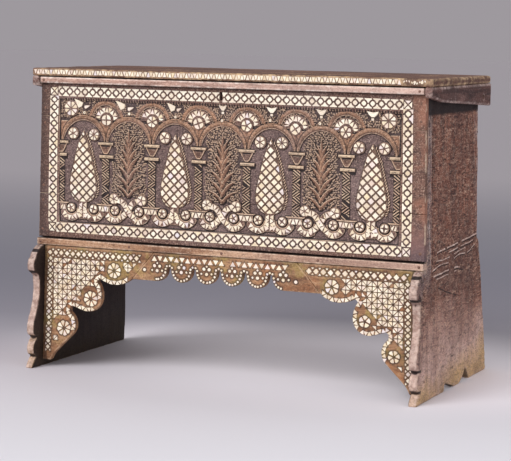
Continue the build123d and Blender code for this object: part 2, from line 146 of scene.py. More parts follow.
class Shader:
    """The node tree of a material or of the world, built one node at a time."""

    def __init__(self, name, kind="materials"):
        self.holder = getattr(bpy.data, kind).new(name)
        self.holder.use_nodes = True
        self.tree = self.holder.node_tree
        self.tree.nodes.clear()

    def add(self, kind, inputs=(), **settings):
        node = self.tree.nodes.new(kind)
        for key, value in settings.items():
            setattr(node, key, value)
        for key, value in dict(inputs).items():
            if isinstance(value, bpy.types.NodeSocket):
                self.tree.links.new(value, node.inputs[key])
            else:
                node.inputs[key].default_value = value
        return node

    def object_place(self):
        return self.add("ShaderNodeTexCoord").outputs["Object"]

    def along(self, vector, axis):
        return self.add("ShaderNodeSeparateXYZ", {"Vector": vector}).outputs[axis]

    def stretch(self, vector, scale):
        node = self.add("ShaderNodeMapping", {"Vector": vector, "Scale": scale})
        return node.outputs["Vector"]

    def grain(self, vector, scale, detail, rough=0.55, warp=0.0):
        inputs = {"Vector": vector, "Scale": scale, "Detail": detail,
                  "Roughness": rough, "Distortion": warp}
        return self.add("ShaderNodeTexNoise", inputs).outputs["Fac"]

    def attribute(self, name):
        return self.add("ShaderNodeAttribute", attribute_name=name).outputs["Fac"]

    def ramp(self, value, *stops, curve="LINEAR"):
        """Colours by a value. Each stop is its place and its 8-bit screen values."""
        ramp = self.add("ShaderNodeValToRGB", {"Fac": value})
        ramp.color_ramp.interpolation = curve
        elements = ramp.color_ramp.elements
        while len(elements) < len(stops):
            elements.new(0.5)
        for element, (position, colour) in zip(elements, stops):
            element.position = position
            element.color = srgb(*colour)
        return ramp.outputs["Color"]

    def range(self, value, low, high, start=0.0, stop=1.0, curve="LINEAR"):
        """From start to stop as the value goes from low to high, and no farther."""
        inputs = {"Value": value, "From Min": low, "From Max": high,
                  "To Min": start, "To Max": stop}
        node = self.add("ShaderNodeMapRange", inputs, interpolation_type=curve)
        return node.outputs["Result"]

    def math(self, operation, a, b, **settings):
        node = self.add("ShaderNodeMath", {0: a, 1: b}, operation=operation, **settings)
        return node.outputs["Value"]

    def times(self, a, b):
        return self.math("MULTIPLY", a, b)

    def mix(self, factor, under, over):
        """One colour over another. A plain one is given by its 8-bit screen values."""
        inputs = {0: factor}
        for key, colour in ((6, under), (7, over)):
            inputs[key] = srgb(*colour) if isinstance(colour, tuple) else colour
        return self.add("ShaderNodeMix", inputs, data_type="RGBA").outputs[2]

    def coats(self, colour, *rows):
        """Colours laid on in turn. Each row is the colour, then the range of its cover."""
        for over, *cover in rows:
            colour = self.mix(self.range(*cover), colour, over)
        return colour

    def bumps(self, *rows):
        """Bumps on top of one another, each a height, a strength and a distance."""
        inputs = {}
        for row in rows:
            inputs.update(zip(("Height", "Strength", "Distance"), row))
            inputs["Normal"] = self.add("ShaderNodeBump", inputs).outputs["Normal"]
        return inputs["Normal"]

    def finish(self, colour, rough, specular=0.35, **others):
        inputs = {"Base Color": colour, "Roughness": rough, "Specular IOR Level": specular}
        for key, value in others.items():
            inputs[key.replace("_", " ")] = value
        shader = self.add("ShaderNodeBsdfPrincipled", inputs)
        self.add("ShaderNodeOutputMaterial", {"Surface": shader.outputs["BSDF"]})
        return self.holder


GRAINS = {"x": (1.0, 9.0, 9.0), "y": (9.0, 1.0, 9.0), "z": (9.0, 9.0, 1.0)}


def figured(name, along, size=3.4, pore_size=75.0):
    """A new walnut shader: its place, and the bands and pores of its grain."""
    s = Shader(name)
    at = s.object_place()
    run = s.stretch(at, GRAINS[along])
    return s, at, s.grain(run, size, 7, 0.66, 0.9), s.grain(run, pore_size, 3, 0.6)


def aged(s, colour, at, dark, worn, speck=0.45, wear=0.8):
    """Dirt and light specks, rubbed arrises, and grime with painted shade in the hollows and shaded
    places, laid over a wood.
    """
    patches = s.grain(at, 6.5, 5, 0.65)
    scuffs = s.grain(at, 58.0, 5, 0.7)
    specks = s.grain(at, 205.0, 3, 0.75)
    colour = s.coats(colour, (dark, patches, 0.42, 0.66, 0.0, 0.45),
                     ((34, 21, 20), specks, 0.34, 0.47, speck, 0.0),
                     (worn, specks, 0.57, 0.72, 0.0, speck),
                     (worn, scuffs, 0.62, 0.72, 0.0, 0.35))
    ragged = s.range(scuffs, 0.42, 0.6, 0.1, 1.0)
    patchy = s.range(s.grain(at, 17.0, 3), 0.4, 0.6, 0.25, wear)
    rubbed = s.times(s.range(s.attribute("edge"), 0.3, 0.9), ragged)
    colour = s.mix(s.times(rubbed, patchy), colour, worn)
    # painted shade, with grime: near black where the attribute marks hollows, gaps and shaded places
    colour = s.coats(colour, ((24, 14, 14), s.attribute("hollow"), 0.2, 0.9, 0.0, 0.94))
    return colour, patches, scuffs, specks


def wood(name, along, dark, mid, light, worn, speck=0.45, paling=()):
    """Old walnut: banded figure, dark pores, rubbed arrises, and grime with painted shade in hollows.
    """
    s, at, bands, pores = figured(name, along, 3.2, 70.4)
    colour = s.ramp(bands, (0.32, dark), (0.50, mid), (0.68, light))
    colour = s.coats(colour, (dark, pores, 0.36, 0.52, 0.62, 0.0))
    for start, stop, amount, pale in paling:
        colour = s.coats(colour, (pale, s.along(at, "X"), start, stop, 0.0, amount))
    colour, patches, scuffs, specks = aged(s, colour, at, dark, worn, speck=speck)
    relief = s.math("ADD", s.times(pores, 0.6), s.times(bands, 0.8))
    normal = s.bumps((relief, 0.5, 0.0012), (scuffs, 0.35, 0.0008), (specks, 0.5, 0.0006))
    return s.finish(colour, s.range(patches, 0.3, 0.7, 0.72, 0.54), Normal=normal)


def end_margins(s, colour, at, run, height):
    """An end board's greyer front margin, and pale streaks there and at its rear."""
    back = s.along(at, "Y")
    front = s.math("SUBTRACT", s.range(back, FACE_Y + 0.055, FACE_Y + 0.07, 0.5, 0.0),
                   s.range(height, 0.30, 0.36, 0.5, 0.0))
    colour = s.coats(colour, ((126, 112, 116), front, 0.0, 0.5, 0.0, 0.5))
    rear = s.times(s.range(back, FACE_Y + 0.47, FACE_Y + 0.52), s.range(height, 0.46, 0.56))
    rims = s.math("MAXIMUM", s.range(front, 0.0, 0.5), rear)
    streaks = s.times(s.range(s.grain(run, 15.0, 4), 0.5, 0.6, 0.0, 0.75), rims)
    return s.mix(streaks, colour, (206, 190, 186))


def scratched(s, colour, at):
    """Pale and dark scratches that cross at a slant, broken here and there."""
    for lean, shade, seed in (((34.0, 40.0, 88.0), (214, 186, 166), 0.0),
                              ((30.0, 62.0, 36.0), (38, 22, 20), 0.7)):
        crossed = s.add("ShaderNodeVectorMath", {0: s.stretch(at, lean), 1: (seed, seed, seed)})
        cells = s.add("ShaderNodeTexVoronoi", {"Vector": crossed.outputs["Vector"], "Scale": 1.0},
                      feature="DISTANCE_TO_EDGE").outputs["Distance"]
        broken = s.range(s.grain(at, 40.0, 3), 0.46, 0.6)
        colour = s.mix(s.times(s.range(cells, 0.02, 0.11, 0.42, 0.0), broken), colour, shade)
    return colour


def end_wood(name):
    """The end boards: reddish and adze-scored above, scoured pale and grey towards the foot."""
    s = Shader(name)
    at = s.object_place()
    run = s.stretch(at, GRAINS["z"])
    bands = s.grain(run, 3.0, 7, 0.66, 0.9)
    strokes = s.grain(s.stretch(at, (34.0, 26.0, 130.0)), 1.0, 4, 0.72, 1.3)
    height = s.math("ADD", s.along(at, "Z"),
                    s.range(s.grain(at, 4.2, 4, 0.6), 0.3, 0.7, -0.07, 0.07))
    upper = s.ramp(bands, (0.30, (72, 38, 30)), (0.5, (138, 84, 66)), (0.7, (172, 118, 92)))
    lower = s.ramp(bands, (0.30, (162, 128, 120)), (0.5, (216, 180, 168)),
                   (0.7, (238, 206, 192)))
    colour = s.mix(s.range(height, 0.10, 0.27), lower, upper)
    waist = s.times(s.range(height, 0.23, 0.30), s.range(height, 0.42, 0.52, 0.4, 0.0))
    colour = s.mix(waist, colour, (76, 46, 42))
    colour = s.coats(colour, ((214, 176, 122), height, 0.03, 0.11, 0.9, 0.0))
    colour = end_margins(s, colour, at, run, height)
    pits = s.times(s.range(strokes, 0.37, 0.48, 0.88, 0.0), s.range(height, 0.12, 0.30, 0.4, 1.0))
    colour = s.mix(pits, colour, (36, 19, 17))
    colour = s.coats(colour, ((214, 174, 148), strokes, 0.54, 0.64, 0.0, 0.8))
    colour = scratched(s, colour, at)
    colour, patches, scuffs, specks = aged(s, colour, at, (78, 50, 44), (206, 178, 158),
                                           speck=0.85, wear=0.7)
    brow = s.times(s.range(s.attribute("brow"), 0.3, 0.8, 0.0, 0.7),
                   s.range(s.attribute("hollow"), 0.2, 0.6, 1.0, 0.0))
    pale = s.mix(s.range(scuffs, 0.4, 0.6), (148, 122, 112), (206, 182, 170))
    colour = s.mix(brow, colour, pale)
    relief = s.math("ADD", strokes, s.times(bands, 0.5))
    normal = s.bumps((relief, 0.6, 0.0016), (specks, 0.5, 0.0008))
    return s.finish(colour, s.range(patches, 0.3, 0.7, 0.72, 0.58), 0.3, Normal=normal)


def iron(name):
    """Forged iron, brown with old rust."""
    s = Shader(name)
    rust = s.grain(s.object_place(), 260.0, 5, 0.65)
    colour = s.ramp(rust, (0.35, (86, 60, 50)), (0.55, (124, 90, 76)), (0.72, (152, 116, 96)))
    return s.finish(colour, s.range(rust, 0.3, 0.7, 0.42, 0.75), 0.5, Metallic=0.25,
                    Normal=s.bumps((rust, 0.5, 0.0006)))


def carved_wood(name):
    """The front's walnut: by tone from dark ground to rubbed orange-brown and tan."""
    s, at, bands, pores = figured(name, "x")
    patches = s.grain(at, 9.0, 4, 0.6)
    scuffs = s.grain(at, 95.0, 5, 0.7)
    specks = s.grain(at, 230.0, 3, 0.75)
    across = s.along(at, "X")
    colour = s.ramp(s.attribute("tone"), (0.0, (129, 104, 100)), (0.35, (134, 98, 84)),
                    (0.7, (192, 143, 112)), (1.0, (244, 216, 178)))
    colour = s.coats(colour, ((56, 34, 30), bands, 0.35, 0.7, 0.5, 0.0),
                     ((40, 23, 22), pores, 0.38, 0.54, 0.6, 0.0),
                     ((150, 126, 122), patches, 0.5, 0.7, 0.0, 0.35),
                     ((38, 22, 22), scuffs, 0.36, 0.48, 0.6, 0.0),
                     ((30, 18, 18), specks, 0.36, 0.48, 0.6, 0.0),
                     ((222, 194, 172), specks, 0.56, 0.68, 0.0, 0.55),
                     ((44, 28, 26), across, -0.64, -0.60, 0.66, 0.0))
    right_margin = s.range(across, 0.598, 0.606)
    varnish = s.times(right_margin, s.range(patches, 0.46, 0.58))
    colour = s.mix(s.times(varnish, 0.45), colour, (166, 108, 80))
    low_margin = s.times(right_margin, s.range(s.along(at, "Z"), 0.46, 0.56, 0.6, 0.0))
    colour = s.mix(low_margin, colour, (98, 80, 86))
    rubbed = s.times(s.range(s.attribute("edge"), 0.2, 0.8),
                     s.range(scuffs, 0.3, 0.55, 0.35, 1.0))
    colour = s.mix(rubbed, colour, (220, 192, 166))
    # painted shade and grime: near black in the carving's hollows, gaps, cuts and painted shadows
    colour = s.coats(colour, ((26, 15, 15), s.attribute("hollow"), 0.12, 0.75, 0.0, 0.92))
    relief = s.math("ADD", s.times(pores, 0.6), s.times(scuffs, 0.7))
    normal = s.bumps((relief, 0.5, 0.001), (specks, 0.5, 0.0006))
    return s.finish(colour, s.range(patches, 0.3, 0.7, 0.66, 0.5), Normal=normal)


def apron_wood(name):
    """The apron's walnut, with olive and orange patches where old varnish has gone."""
    s, at, bands, pores = figured(name, "x")
    hues = s.grain(at, 11.0, 3, 0.6, 0.5)
    colour = s.ramp(bands, (0.32, (104, 66, 44)), (0.5, (160, 116, 82)), (0.68, (196, 154, 116)))
    colour = s.mix(s.times(s.range(hues, 0.52, 0.62), 0.65), colour, (172, 148, 84))
    colour = s.mix(s.times(s.range(hues, 0.45, 0.37), 0.4), colour, (182, 118, 72))
    colour = s.coats(colour, ((58, 34, 26), pores, 0.36, 0.52, 0.5, 0.0))
    colour, patches, _, specks = aged(s, colour, at, (92, 58, 42), (214, 182, 150))
    normal = s.bumps((pores, 0.4, 0.001), (specks, 0.5, 0.0006))
    return s.finish(colour, s.range(patches, 0.3, 0.7, 0.66, 0.5), Normal=normal)


def shell(name):
    """Aged mother-of-pearl: cream and white, here yellowed, there pink or grey."""
    s = Shader(name)
    at = s.object_place()
    lustre = s.grain(at, 120.0, 3, 0.5, 0.6)
    wear = s.grain(at, 300.0, 4, 0.6)
    colour = s.ramp(s.attribute("tint"), (0.0, (238, 218, 178)), (0.14, (244, 228, 196)),
                    (0.45, (248, 235, 208)), (0.75, (250, 240, 218)),
                    (0.92, (244, 222, 204)), (1.0, (226, 218, 220)))
    colour = s.coats(colour, ((196, 168, 138), s.attribute("shade"), 0.0, 0.8, 0.5, 0.0),
                     ((214, 206, 214), lustre, 0.4, 0.7, 0.0, 0.3),
                     ((158, 124, 98), wear, 0.56, 0.7, 0.0, 0.6),
                     ((110, 80, 60), s.attribute("rim"), 0.2, 1.0, 0.0, 0.75))
    return s.finish(colour, s.range(wear, 0.3, 0.7, 0.3, 0.46), 0.5, Coat_Weight=0.25,
                    Coat_Roughness=0.2, Normal=s.bumps((lustre, 0.25, 0.0006)))


MATERIALS = {
    "shell": shell("mother_of_pearl"),
    "front": carved_wood("walnut_front_carving"),
    "end": end_wood("walnut_end_grain"),
    "apron": apron_wood("walnut_apron_grain"),
    "moulding": wood("walnut_moulding_grain", "x", (88, 52, 38), (166, 124, 94),
                     (208, 170, 138), (236, 210, 186),
                     paling=[(-0.1, 0.55, 0.5, (208, 178, 166))]),
    "rail": wood("walnut_rail_grain", "x", (108, 76, 66), (202, 162, 144), (236, 206, 190),
                 (250, 234, 222), speck=0.36, paling=[(-0.3, 0.6, 0.35, (236, 212, 200))]),
    "lid": wood("walnut_lid_grain", "x", (62, 38, 32), (116, 80, 66), (154, 118, 96),
                (214, 182, 142)),
    "cleat": wood("walnut_cleat_grain", "y", (44, 25, 23), (106, 70, 62), (152, 114, 104),
                  (222, 198, 188)),
    "inner": wood("walnut_inner_grain", "x", (60, 42, 36), (98, 74, 62), (124, 98, 82),
                  (150, 124, 106)),
    "iron": iron("forged_iron_scale"),
}


# ---------------------------------------------------------------- mesh helpers

def new_object(name, mesh, material, body, slot, smooth=True):
    piece = bpy.data.objects.new(name, mesh)
    bpy.context.scene.collection.objects.link(piece)
    mesh.materials.clear()
    mesh.materials.append(material)
    if smooth:
        mesh.polygons.foreach_set("use_smooth", [True] * len(mesh.polygons))
    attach(piece, body)
    return piece


def built_mesh(name, points, faces):
    """A mesh of points in the chest's millimetres."""
    mesh = bpy.data.meshes.new(name)
    mesh.from_pydata(place(points).tolist(), [], faces)
    mesh.update()
    return mesh


def set_attribute(mesh, name, values):
    attribute = mesh.attributes.get(name) or mesh.attributes.new(name, "FLOAT", "POINT")
    attribute.data.foreach_set("value", np.asarray(values, np.float32))


def pulled(items, key, width, kind=np.float32):
    """A value or a row of values for each of a mesh's items."""
    flat = np.zeros(len(items) * width, kind)
    items.foreach_get(key, flat)
    return flat.reshape(-1, width)


def vertex_array(mesh):
    return pulled(mesh.vertices, "co", 3, float)


def normal_array(mesh):
    return pulled(mesh.vertex_normals, "vector", 3).astype(float)


def edge_array(mesh):
    return pulled(mesh.edges, "vertices", 2, np.int32)


def relax(values, ends, rounds):
    """Each point moves to the mean of its neighbours, that many times."""
    count = np.bincount(ends.ravel(), minlength=len(values)).astype(float)
    count[count == 0] = 1
    for _ in range(rounds):
        total = np.zeros_like(values)
        for axis in range(values.shape[1]):
            total[:, axis] = (
                np.bincount(ends[:, 0], values[ends[:, 1], axis], len(values))
                + np.bincount(ends[:, 1], values[ends[:, 0], axis], len(values)))
        values = total / count[:, None]
    return values


WEAR_REACH = 0.9


def mark_wear(mesh):
    """Writes how far each point stands out of its surroundings, or lies back in them."""
    co = vertex_array(mesh)
    soft = relax(co, edge_array(mesh), 4)
    proud = np.einsum("ij,ij->i", co - soft, normal_array(mesh)) / MM
    set_attribute(mesh, "edge", np.clip(proud / WEAR_REACH, 0, 1))
    # lying back reads as painted shade and grime in the hollows
    set_attribute(mesh, "hollow", np.clip(-proud / WEAR_REACH, 0, 1))


def remeshed(node, voxel):
    """The node's shape as an even mesh of its own, to be worn and marked."""
    mesh = nodes[node].data.copy()
    work = bmesh.new()
    work.from_mesh(mesh)
    bmesh.ops.remove_doubles(work, verts=work.verts, dist=1e-6)
    work.to_mesh(mesh)
    work.free()
    holder = bpy.data.objects.new("holder", mesh)
    bpy.context.scene.collection.objects.link(holder)
    modifier = holder.modifiers.new("even", "REMESH")
    modifier.mode = "VOXEL"
    modifier.voxel_size = voxel * MM
    bpy.context.view_layer.update()
    ready = holder.evaluated_get(bpy.context.evaluated_depsgraph_get())
    even = bpy.data.meshes.new_from_object(ready)
    bpy.data.objects.remove(holder)
    bpy.data.meshes.remove(mesh)
    return even


SLOTS = {"end": "walnut_case", "rail": "walnut_case", "apron": "walnut_apron",
         "moulding": "walnut_apron", "lid": "walnut_lid", "cleat": "walnut_lid",
         "inner": "walnut_inner"}


def lengthwise(along, length, width):
    """A stretched cell's size along x, y and z, longest the way the grain runs."""
    return [length if axis == along else width for axis in "xyz"]


def worn_board(node, material, along, voxel, warp, seed):
    """A board with soft arrises, a slightly uneven planed face and its own wear marks."""
    mesh = remeshed(node, voxel)
    ends = edge_array(mesh)
    co = vertex_array(mesh)
    soft, rounds = (0.3, 1) if material == "end" else (0.65, 2)
    co = (1 - soft) * co + soft * relax(co, ends, rounds)
    mesh.vertices.foreach_set("co", co.ravel())
    mesh.update()
    normals = normal_array(mesh)
    points = natural(co)
    push = warp * noise(points, lengthwise(along, 220.0, 34.0), seed + 1)
    push += 0.35 * warp * noise(points, lengthwise(along, 60.0, 7.0), seed + 2)
    if material == "end":
        push += hewn(points, normals)
    low, high = extent(node)
    moved = np.clip(points + normals * push[:, None], low - 1.0, high + 1.0)
    mesh.vertices.foreach_set("co", place(moved).ravel())
    mesh.update()
    mark_wear(mesh)
    if material == "end":
        mark_end(mesh, moved, normal_array(mesh))
    if material in ("rail", "moulding"):
        mark_seams(mesh, moved, low[2], high[2])
    if node == "lid_board_1" or material == "cleat":
        mark_front(mesh, normal_array(mesh))
    body = nodes[node]["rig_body"]
    piece = new_object(node + "_worn", mesh, MATERIALS[material], body, SLOTS[material])
    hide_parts(node)


def deepen(mesh, name, *more):
    """Raises an attribute to each of the given values where they are higher, up to 1."""
    values = pulled(mesh.attributes[name].data, "value", 1)[:, 0]
    for higher in more:
        values = np.maximum(values, higher)
    set_attribute(mesh, name, np.clip(values, 0, 1))


def mark_seams(mesh, points, foot, top):
    """Darkens a board along its upper and lower joints, as painted shade in the gaps there."""
    from_joint = np.minimum(points[:, 2] - foot, top - points[:, 2])
    deepen(mesh, "hollow", np.clip(1.3 - from_joint / 2.0, 0, 1))


def mark_front(mesh, normals):
    """Marks the lid's front edge and its cleats' front ends, which hands have rubbed pale."""
    deepen(mesh, "edge", np.clip(-normals[:, 1], 0, 1))


WAIST = 405
INNER_SHADE_TOP = 425
SCALLOP_NECKS = (378, 311, 101, 38)
NECK_REACH = 6.5


def mark_end(mesh, points, normals):
    """Marks an end board's paler front edge, and paints shade on its inner side below the case, under
    the lid's cleat, in the slits at the scallops' necks and on faces that turn down near its foot.
    """
    height = points[:, 2]
    set_attribute(mesh, "brow", np.clip(-normals[:, 1], 0, 1) * (height < WAIST))
    outward = normals[:, 0] * np.sign(points[:, 0])
    # painted shade: the inner side below the case, and the outer side just under the lid's cleat
    marks = [np.clip(-outward, 0, 1) * (height < INNER_SHADE_TOP),
             np.clip(outward, 0, 1) * smoothstep(height, 838.0, 856.0)]
    # painted shade in the slits at the scallops' necks
    for z in SCALLOP_NECKS:
        off = np.abs(height - z)
        near = (off < NECK_REACH) & (points[:, 1] < -24) & (normals[:, 1] < 0.2)
        marks.append(near * (1 - off / NECK_REACH) * 1.9)
    # painted shade on the faces that turn down near the foot
    marks.append(np.clip(-normals[:, 2], 0, 1) * (height > 3) * (height < 60))
    deepen(mesh, "hollow", *marks)


def hewn(points, normals):
    """Shallow adze strokes across an end board, as far as its outer face reaches."""
    outer = np.clip(normals[:, 0] * np.sign(points[:, 0]), 0, 1)
    strokes = noise(points, (60.0, 46.0, 9.0), 91) + 0.6 * noise(points, (60.0, 20.0, 5.0), 92)
    return 0.7 * strokes * outer


# ---------------------------------------------------------------- boards

BOARDS = (
    # board, its wood, the way its grain runs, the size of its mesh, how uneven it is
    ("end_board_left", "end", "z", 3.9, 0.8),
    ("end_board_right", "end", "z", 3.9, 0.8),
    ("apron_bracket_left", "apron", "x", 2.6, 0.5),
    ("apron_bracket_right", "apron", "x", 2.6, 0.5),
    ("apron_centre_strip", "apron", "x", 2.4, 0.5),
    ("base_moulding", "moulding", "x", 2.6, 0.6),
    ("top_rail", "rail", "x", 3.0, 0.7),
    ("lid_board_1", "lid", "x", 4.0, 0.9),
    ("lid_board_2", "lid", "x", 4.5, 0.9),
    ("lid_board_3", "lid", "x", 4.5, 0.9),
    ("lid_cleat_left", "cleat", "y", 3.4, 0.7),
    ("lid_cleat_right", "cleat", "y", 3.4, 0.7),
    ("back_board_lower", "inner", "x", 5.0, 0.9),
    ("back_board_upper", "inner", "x", 5.0, 0.9),
)
FIRST_BOARD_SEED = 11
for seed, board in enumerate(BOARDS, FIRST_BOARD_SEED):
    worn_board(*board, seed)

PLAIN = {"inner": ("floor_", "front_sill", "back_sill"), "lid": ("hinge_pin_",),
         "iron": ("lock_",)}
for node, item in nodes.items():
    for material, starts in PLAIN.items():
        if node.startswith(starts):
            item.data.materials[0] = MATERIALS[material]
    if node.endswith("_nails"):
        item.data.materials[0] = MATERIALS["iron"]


# ---------------------------------------------------------------- the carved front

FACE = 6.0
DROOP = 0.005
FIELD = dict(left=-577.0, right=569.0, foot=467.0, top=860.0)
BAND_TOP, BAND_FOOT, BAND_HALF = 883, 450, 15.2
MARGIN_HEIGHTS = (440, 700, 890)
LEFT_PLACES = (-600.5, -599.0, -594.0)
RIGHT_PLACES = (593.0, 590.5, 587.0)
SHAFTS = (-572, -412, -249, -89, 73, 238, 398, 560)
LOWER_ARCHES = (-491, -331, -169, -8, 155, 317, 479)
UPPER_ARCHES = (-411, -249, -88, 73, 234, 396)
CYPRESSES = (-491, -169, 153, 480)
PALMS = (-330, -7, 318)
VOLUTES = (-533, -453, -377, -292, -210, -130, -47, 33, 115, 195, 278, 360, 445, 523)
DARK, MID, ORANGE, TAN = 0.0, 0.35, 0.7, 1.0
SCROLL_Z, LOWER_ARCH_Z, UPPER_ARCH_Z, BEAD_Z = 515, 733, 796, 859.8
EVERYWHERE = slice(None)
LOW_GROUND = 1.9


class Relief:
    """Heights of the carving above the sunk ground, one millimetre apart."""

    def __init__(self):
        self.low = (-656.0, 412.0)
        self.x, self.z = np.meshgrid(np.arange(self.low[0], 657.0), np.arange(self.low[1], 917.0))
        self.up = np.full(self.x.shape, FACE)
        self.tone = np.full(self.x.shape, MID)
        # how dark each place is painted: shade in hollows, gaps and under raised work, and dark
        # joints between pieces of shell
        self.dark = np.zeros(self.x.shape)

    def part(self, left, right, foot, top):
        columns = slice(max(int(left - self.low[0]), 0), int(right - self.low[0]) + 2)
        rows = slice(max(int(foot - self.low[1]), 0), int(top - self.low[1]) + 2)
        return rows, columns

    def near(self, box):
        rows, columns = self.part(*box)
        return self.x[rows, columns], self.z[rows, columns]

    def raise_to(self, box, heights, inside, tone):
        """Heights win where they are inside and above what is there."""
        rows, columns = self.part(*box)
        up = self.up[rows, columns]
        won = inside & (heights > up)
        up[won] = np.broadcast_to(heights, up.shape)[won]
        self.tone[rows, columns][won] = tone
        # raised wood loses the painted shade of what was under it
        self.dark[rows, columns][won] = 0.0

    def darken(self, box, inside, amount):
        """Darkens a patch: painted shade in hollows, gaps and cuts, and dark wood between pieces of
        shell.
        """
        rows, columns = self.part(*box)
        dark = self.dark[rows, columns]
        dark[inside] = np.maximum(dark[inside], amount)

    def cut_to(self, box, height, inside):
        """Cuts down to one height where the wood stands above it."""
        rows, columns = self.part(*box)
        up = self.up[rows, columns]
        won = inside & (height < up)
        up[won] = height
        self.tone[rows, columns][won] = DARK

    def value(self, grid, x, z):
        """A grid's value at any level points, by straight lines between its own."""
        fx = np.clip(np.asarray(x, float) - self.low[0], 0, self.x.shape[1] - 1.001)
        fz = np.clip(np.asarray(z, float) - self.low[1], 0, self.x.shape[0] - 1.001)
        ix, iz = fx.astype(int), fz.astype(int)
        tx, tz = fx - ix, fz - iz
        low = grid[iz, ix] * (1 - tx) + grid[iz, ix + 1] * tx
        high = grid[iz + 1, ix] * (1 - tx) + grid[iz + 1, ix + 1] * tx
        return low * (1 - tz) + high * tz


def blurred(grid, rounds):
    """The grid with each value averaged with its neighbours, that many times."""
    for _ in range(rounds):
        wide = np.pad(grid, 1, mode="edge")
        grid = (wide[:-2, 1:-1] + wide[2:, 1:-1] + wide[1:-1, :-2] + wide[1:-1, 2:]
                + 2 * wide[1:-1, 1:-1]) / 6
    return grid


def rounding(share):
    """A quarter circle's rise as the share goes from 0 to 1."""
    return np.sqrt(np.clip(1 - (1 - np.clip(share, 0, 1)) ** 2, 0, 1))


def dome(depth, reach, height):
    """A rounded edge: nothing at the outline, full height `reach` inside it."""
    return height * rounding(depth / reach)


def line_place(x, z, points):
    """Distance to a run of straight lines, and the length along it of the nearest point."""
    best = np.full(np.shape(x), 1e9)
    where = np.zeros(np.shape(x))
    side = np.zeros(np.shape(x))
    run = 0.0
    for (ax, az), (bx, bz) in zip(points, points[1:]):
        length = math.hypot(bx - ax, bz - az)
        ux, uz = (bx - ax) / length, (bz - az) / length
        t = np.clip((x - ax) * ux + (z - az) * uz, 0, length)
        px, pz = x - ax - t * ux, z - az - t * uz
        d = np.hypot(px, pz)
        nearer = d < best
        best = np.where(nearer, d, best)
        where = np.where(nearer, run + t, where)
        side = np.where(nearer, ux * pz - uz * px, side)
        run += length
    return best, where, side, run


def box_of(points, room):
    xs = [p[0] for p in points]
    zs = [p[1] for p in points]
    return min(xs) - room, max(xs) + room, min(zs) - room, max(zs) + room


def polygon_depth(x, z, outline):
    """How far each point lies inside a closed outline, negative outside."""
    near = np.full(np.shape(x), 1e9)
    inside = np.zeros(np.shape(x), bool)
    for (ax, az), (bx, bz) in zip(outline, outline[1:] + outline[:1]):
        length = math.hypot(bx - ax, bz - az)
        ux, uz = (bx - ax) / length, (bz - az) / length
        t = np.clip((x - ax) * ux + (z - az) * uz, 0, length)
        near = np.minimum(near, np.hypot(x - ax - t * ux, z - az - t * uz))
        if az != bz:
            crosses = (az > z) != (bz > z)
            inside ^= crosses & (x < (bx - ax) * (z - az) / (bz - az) + ax)
    return np.where(inside, near, -near)


def smooth_line(points, rounds=3):
    """The same open line with its corners cut round."""
    points = [tuple(map(float, p)) for p in points]
    for _ in range(rounds):
        cut = [points[0]]
        for (ax, az), (bx, bz) in zip(points, points[1:]):
            cut.append((0.75 * ax + 0.25 * bx, 0.75 * az + 0.25 * bz))
            cut.append((0.25 * ax + 0.75 * bx, 0.25 * az + 0.75 * bz))
        cut.append(points[-1])
        points = cut
    return points


def arc(cx, cz, radius, start, stop, count):
    """Points on a circle, by angles in degrees from the right, upward."""
    out = []
    for k in range(count + 1):
        angle = math.radians(start + (stop - start) * k / count)
        out.append((cx + radius * math.cos(angle), cz + radius * math.sin(angle)))
    return out


def sink_field(relief):
    """The sunk ground, with a soft edge all round, still rough from the chisel."""
    x, z = relief.x, relief.z
    depth = np.minimum(np.minimum(x - FIELD["left"], FIELD["right"] - x),
                       np.minimum(z - FIELD["foot"], FIELD["top"] - z))
    ground = 0.6 + 0.7 * noise_xz(x, z, (9.0, 12.0), 31) + 0.8 * noise_xz(x, z, (4.0, 5.5), 32)
    wall = FACE - (FACE - ground) * smoothstep(depth, 0.0, 2.5)
    relief.up = np.where(depth > 0, wall, relief.up)
    relief.tone = np.where(depth > 0, DARK, relief.tone)
    band = (np.abs(z - BAND_TOP) < BAND_HALF) | (np.abs(z - BAND_FOOT) < BAND_HALF)
    band &= (x > -613) & (x < 603)
    upright = (np.abs(x - np.interp(z, MARGIN_HEIGHTS, LEFT_PLACES)) < BAND_HALF)
    upright |= (np.abs(x - np.interp(z, MARGIN_HEIGHTS, RIGHT_PLACES)) < BAND_HALF)
    upright &= (z > 436) & (z < 897)
    # the wood between the border's pieces of shell is darker: dark joints and painted shade, less so
    # along the top band
    relief.dark = np.where(band | upright, np.where(z > 866, 0.3, 0.42), 0.0)
    # painted shadow along the foot of the field's wall, all round
    relief.dark = np.where((depth > 0) & (depth < 3.5), 0.8, relief.dark)


def raise_disc(relief, cx, cz, radius, height, edge, tone=MID):
    """A round boss with a rounded edge."""
    box = (cx - radius, cx + radius, cz - radius, cz + radius)
    x, z = relief.near(box)
    depth = radius - np.hypot(x - cx, z - cz)
    relief.raise_to(box, dome(depth, edge, height), depth > 0, tone)


def raise_line(relief, points, half, height, tone, edge):
    """A rounded band along a line."""
    box = box_of(points, half + 2)
    x, z = relief.near(box)
    depth = half - line_place(x, z, points)[0]
    relief.raise_to(box, dome(depth, edge, height), depth > 0, tone)


def raise_box(relief, left, right, foot, top, height, tone, edge=2.0):
    """A flat bar or block with rounded edges."""
    box = (left, right, foot, top)
    x, z = relief.near(box)
    depth = np.minimum(np.minimum(x - left, right - x), np.minimum(z - foot, top - z))
    relief.raise_to(box, dome(depth, edge, height), depth > 0, tone)


def carve_shaft(relief, cx):
    """A slim column's bed, cut back for the hatching that lies in it, and painted dark as the shade
    between the ribs.
    """
    left, right = max(cx - 12.5, FIELD["left"] + 1), min(cx + 12.5, FIELD["right"] - 1)
    box = (left, right, 528, 676)
    x = relief.near(box)[0]
    relief.raise_to(box, 2.4, np.minimum(x - left, right - x) > 0, DARK)
    # painted shade between the ribs
    relief.darken(box, EVERYWHERE, 1.0)


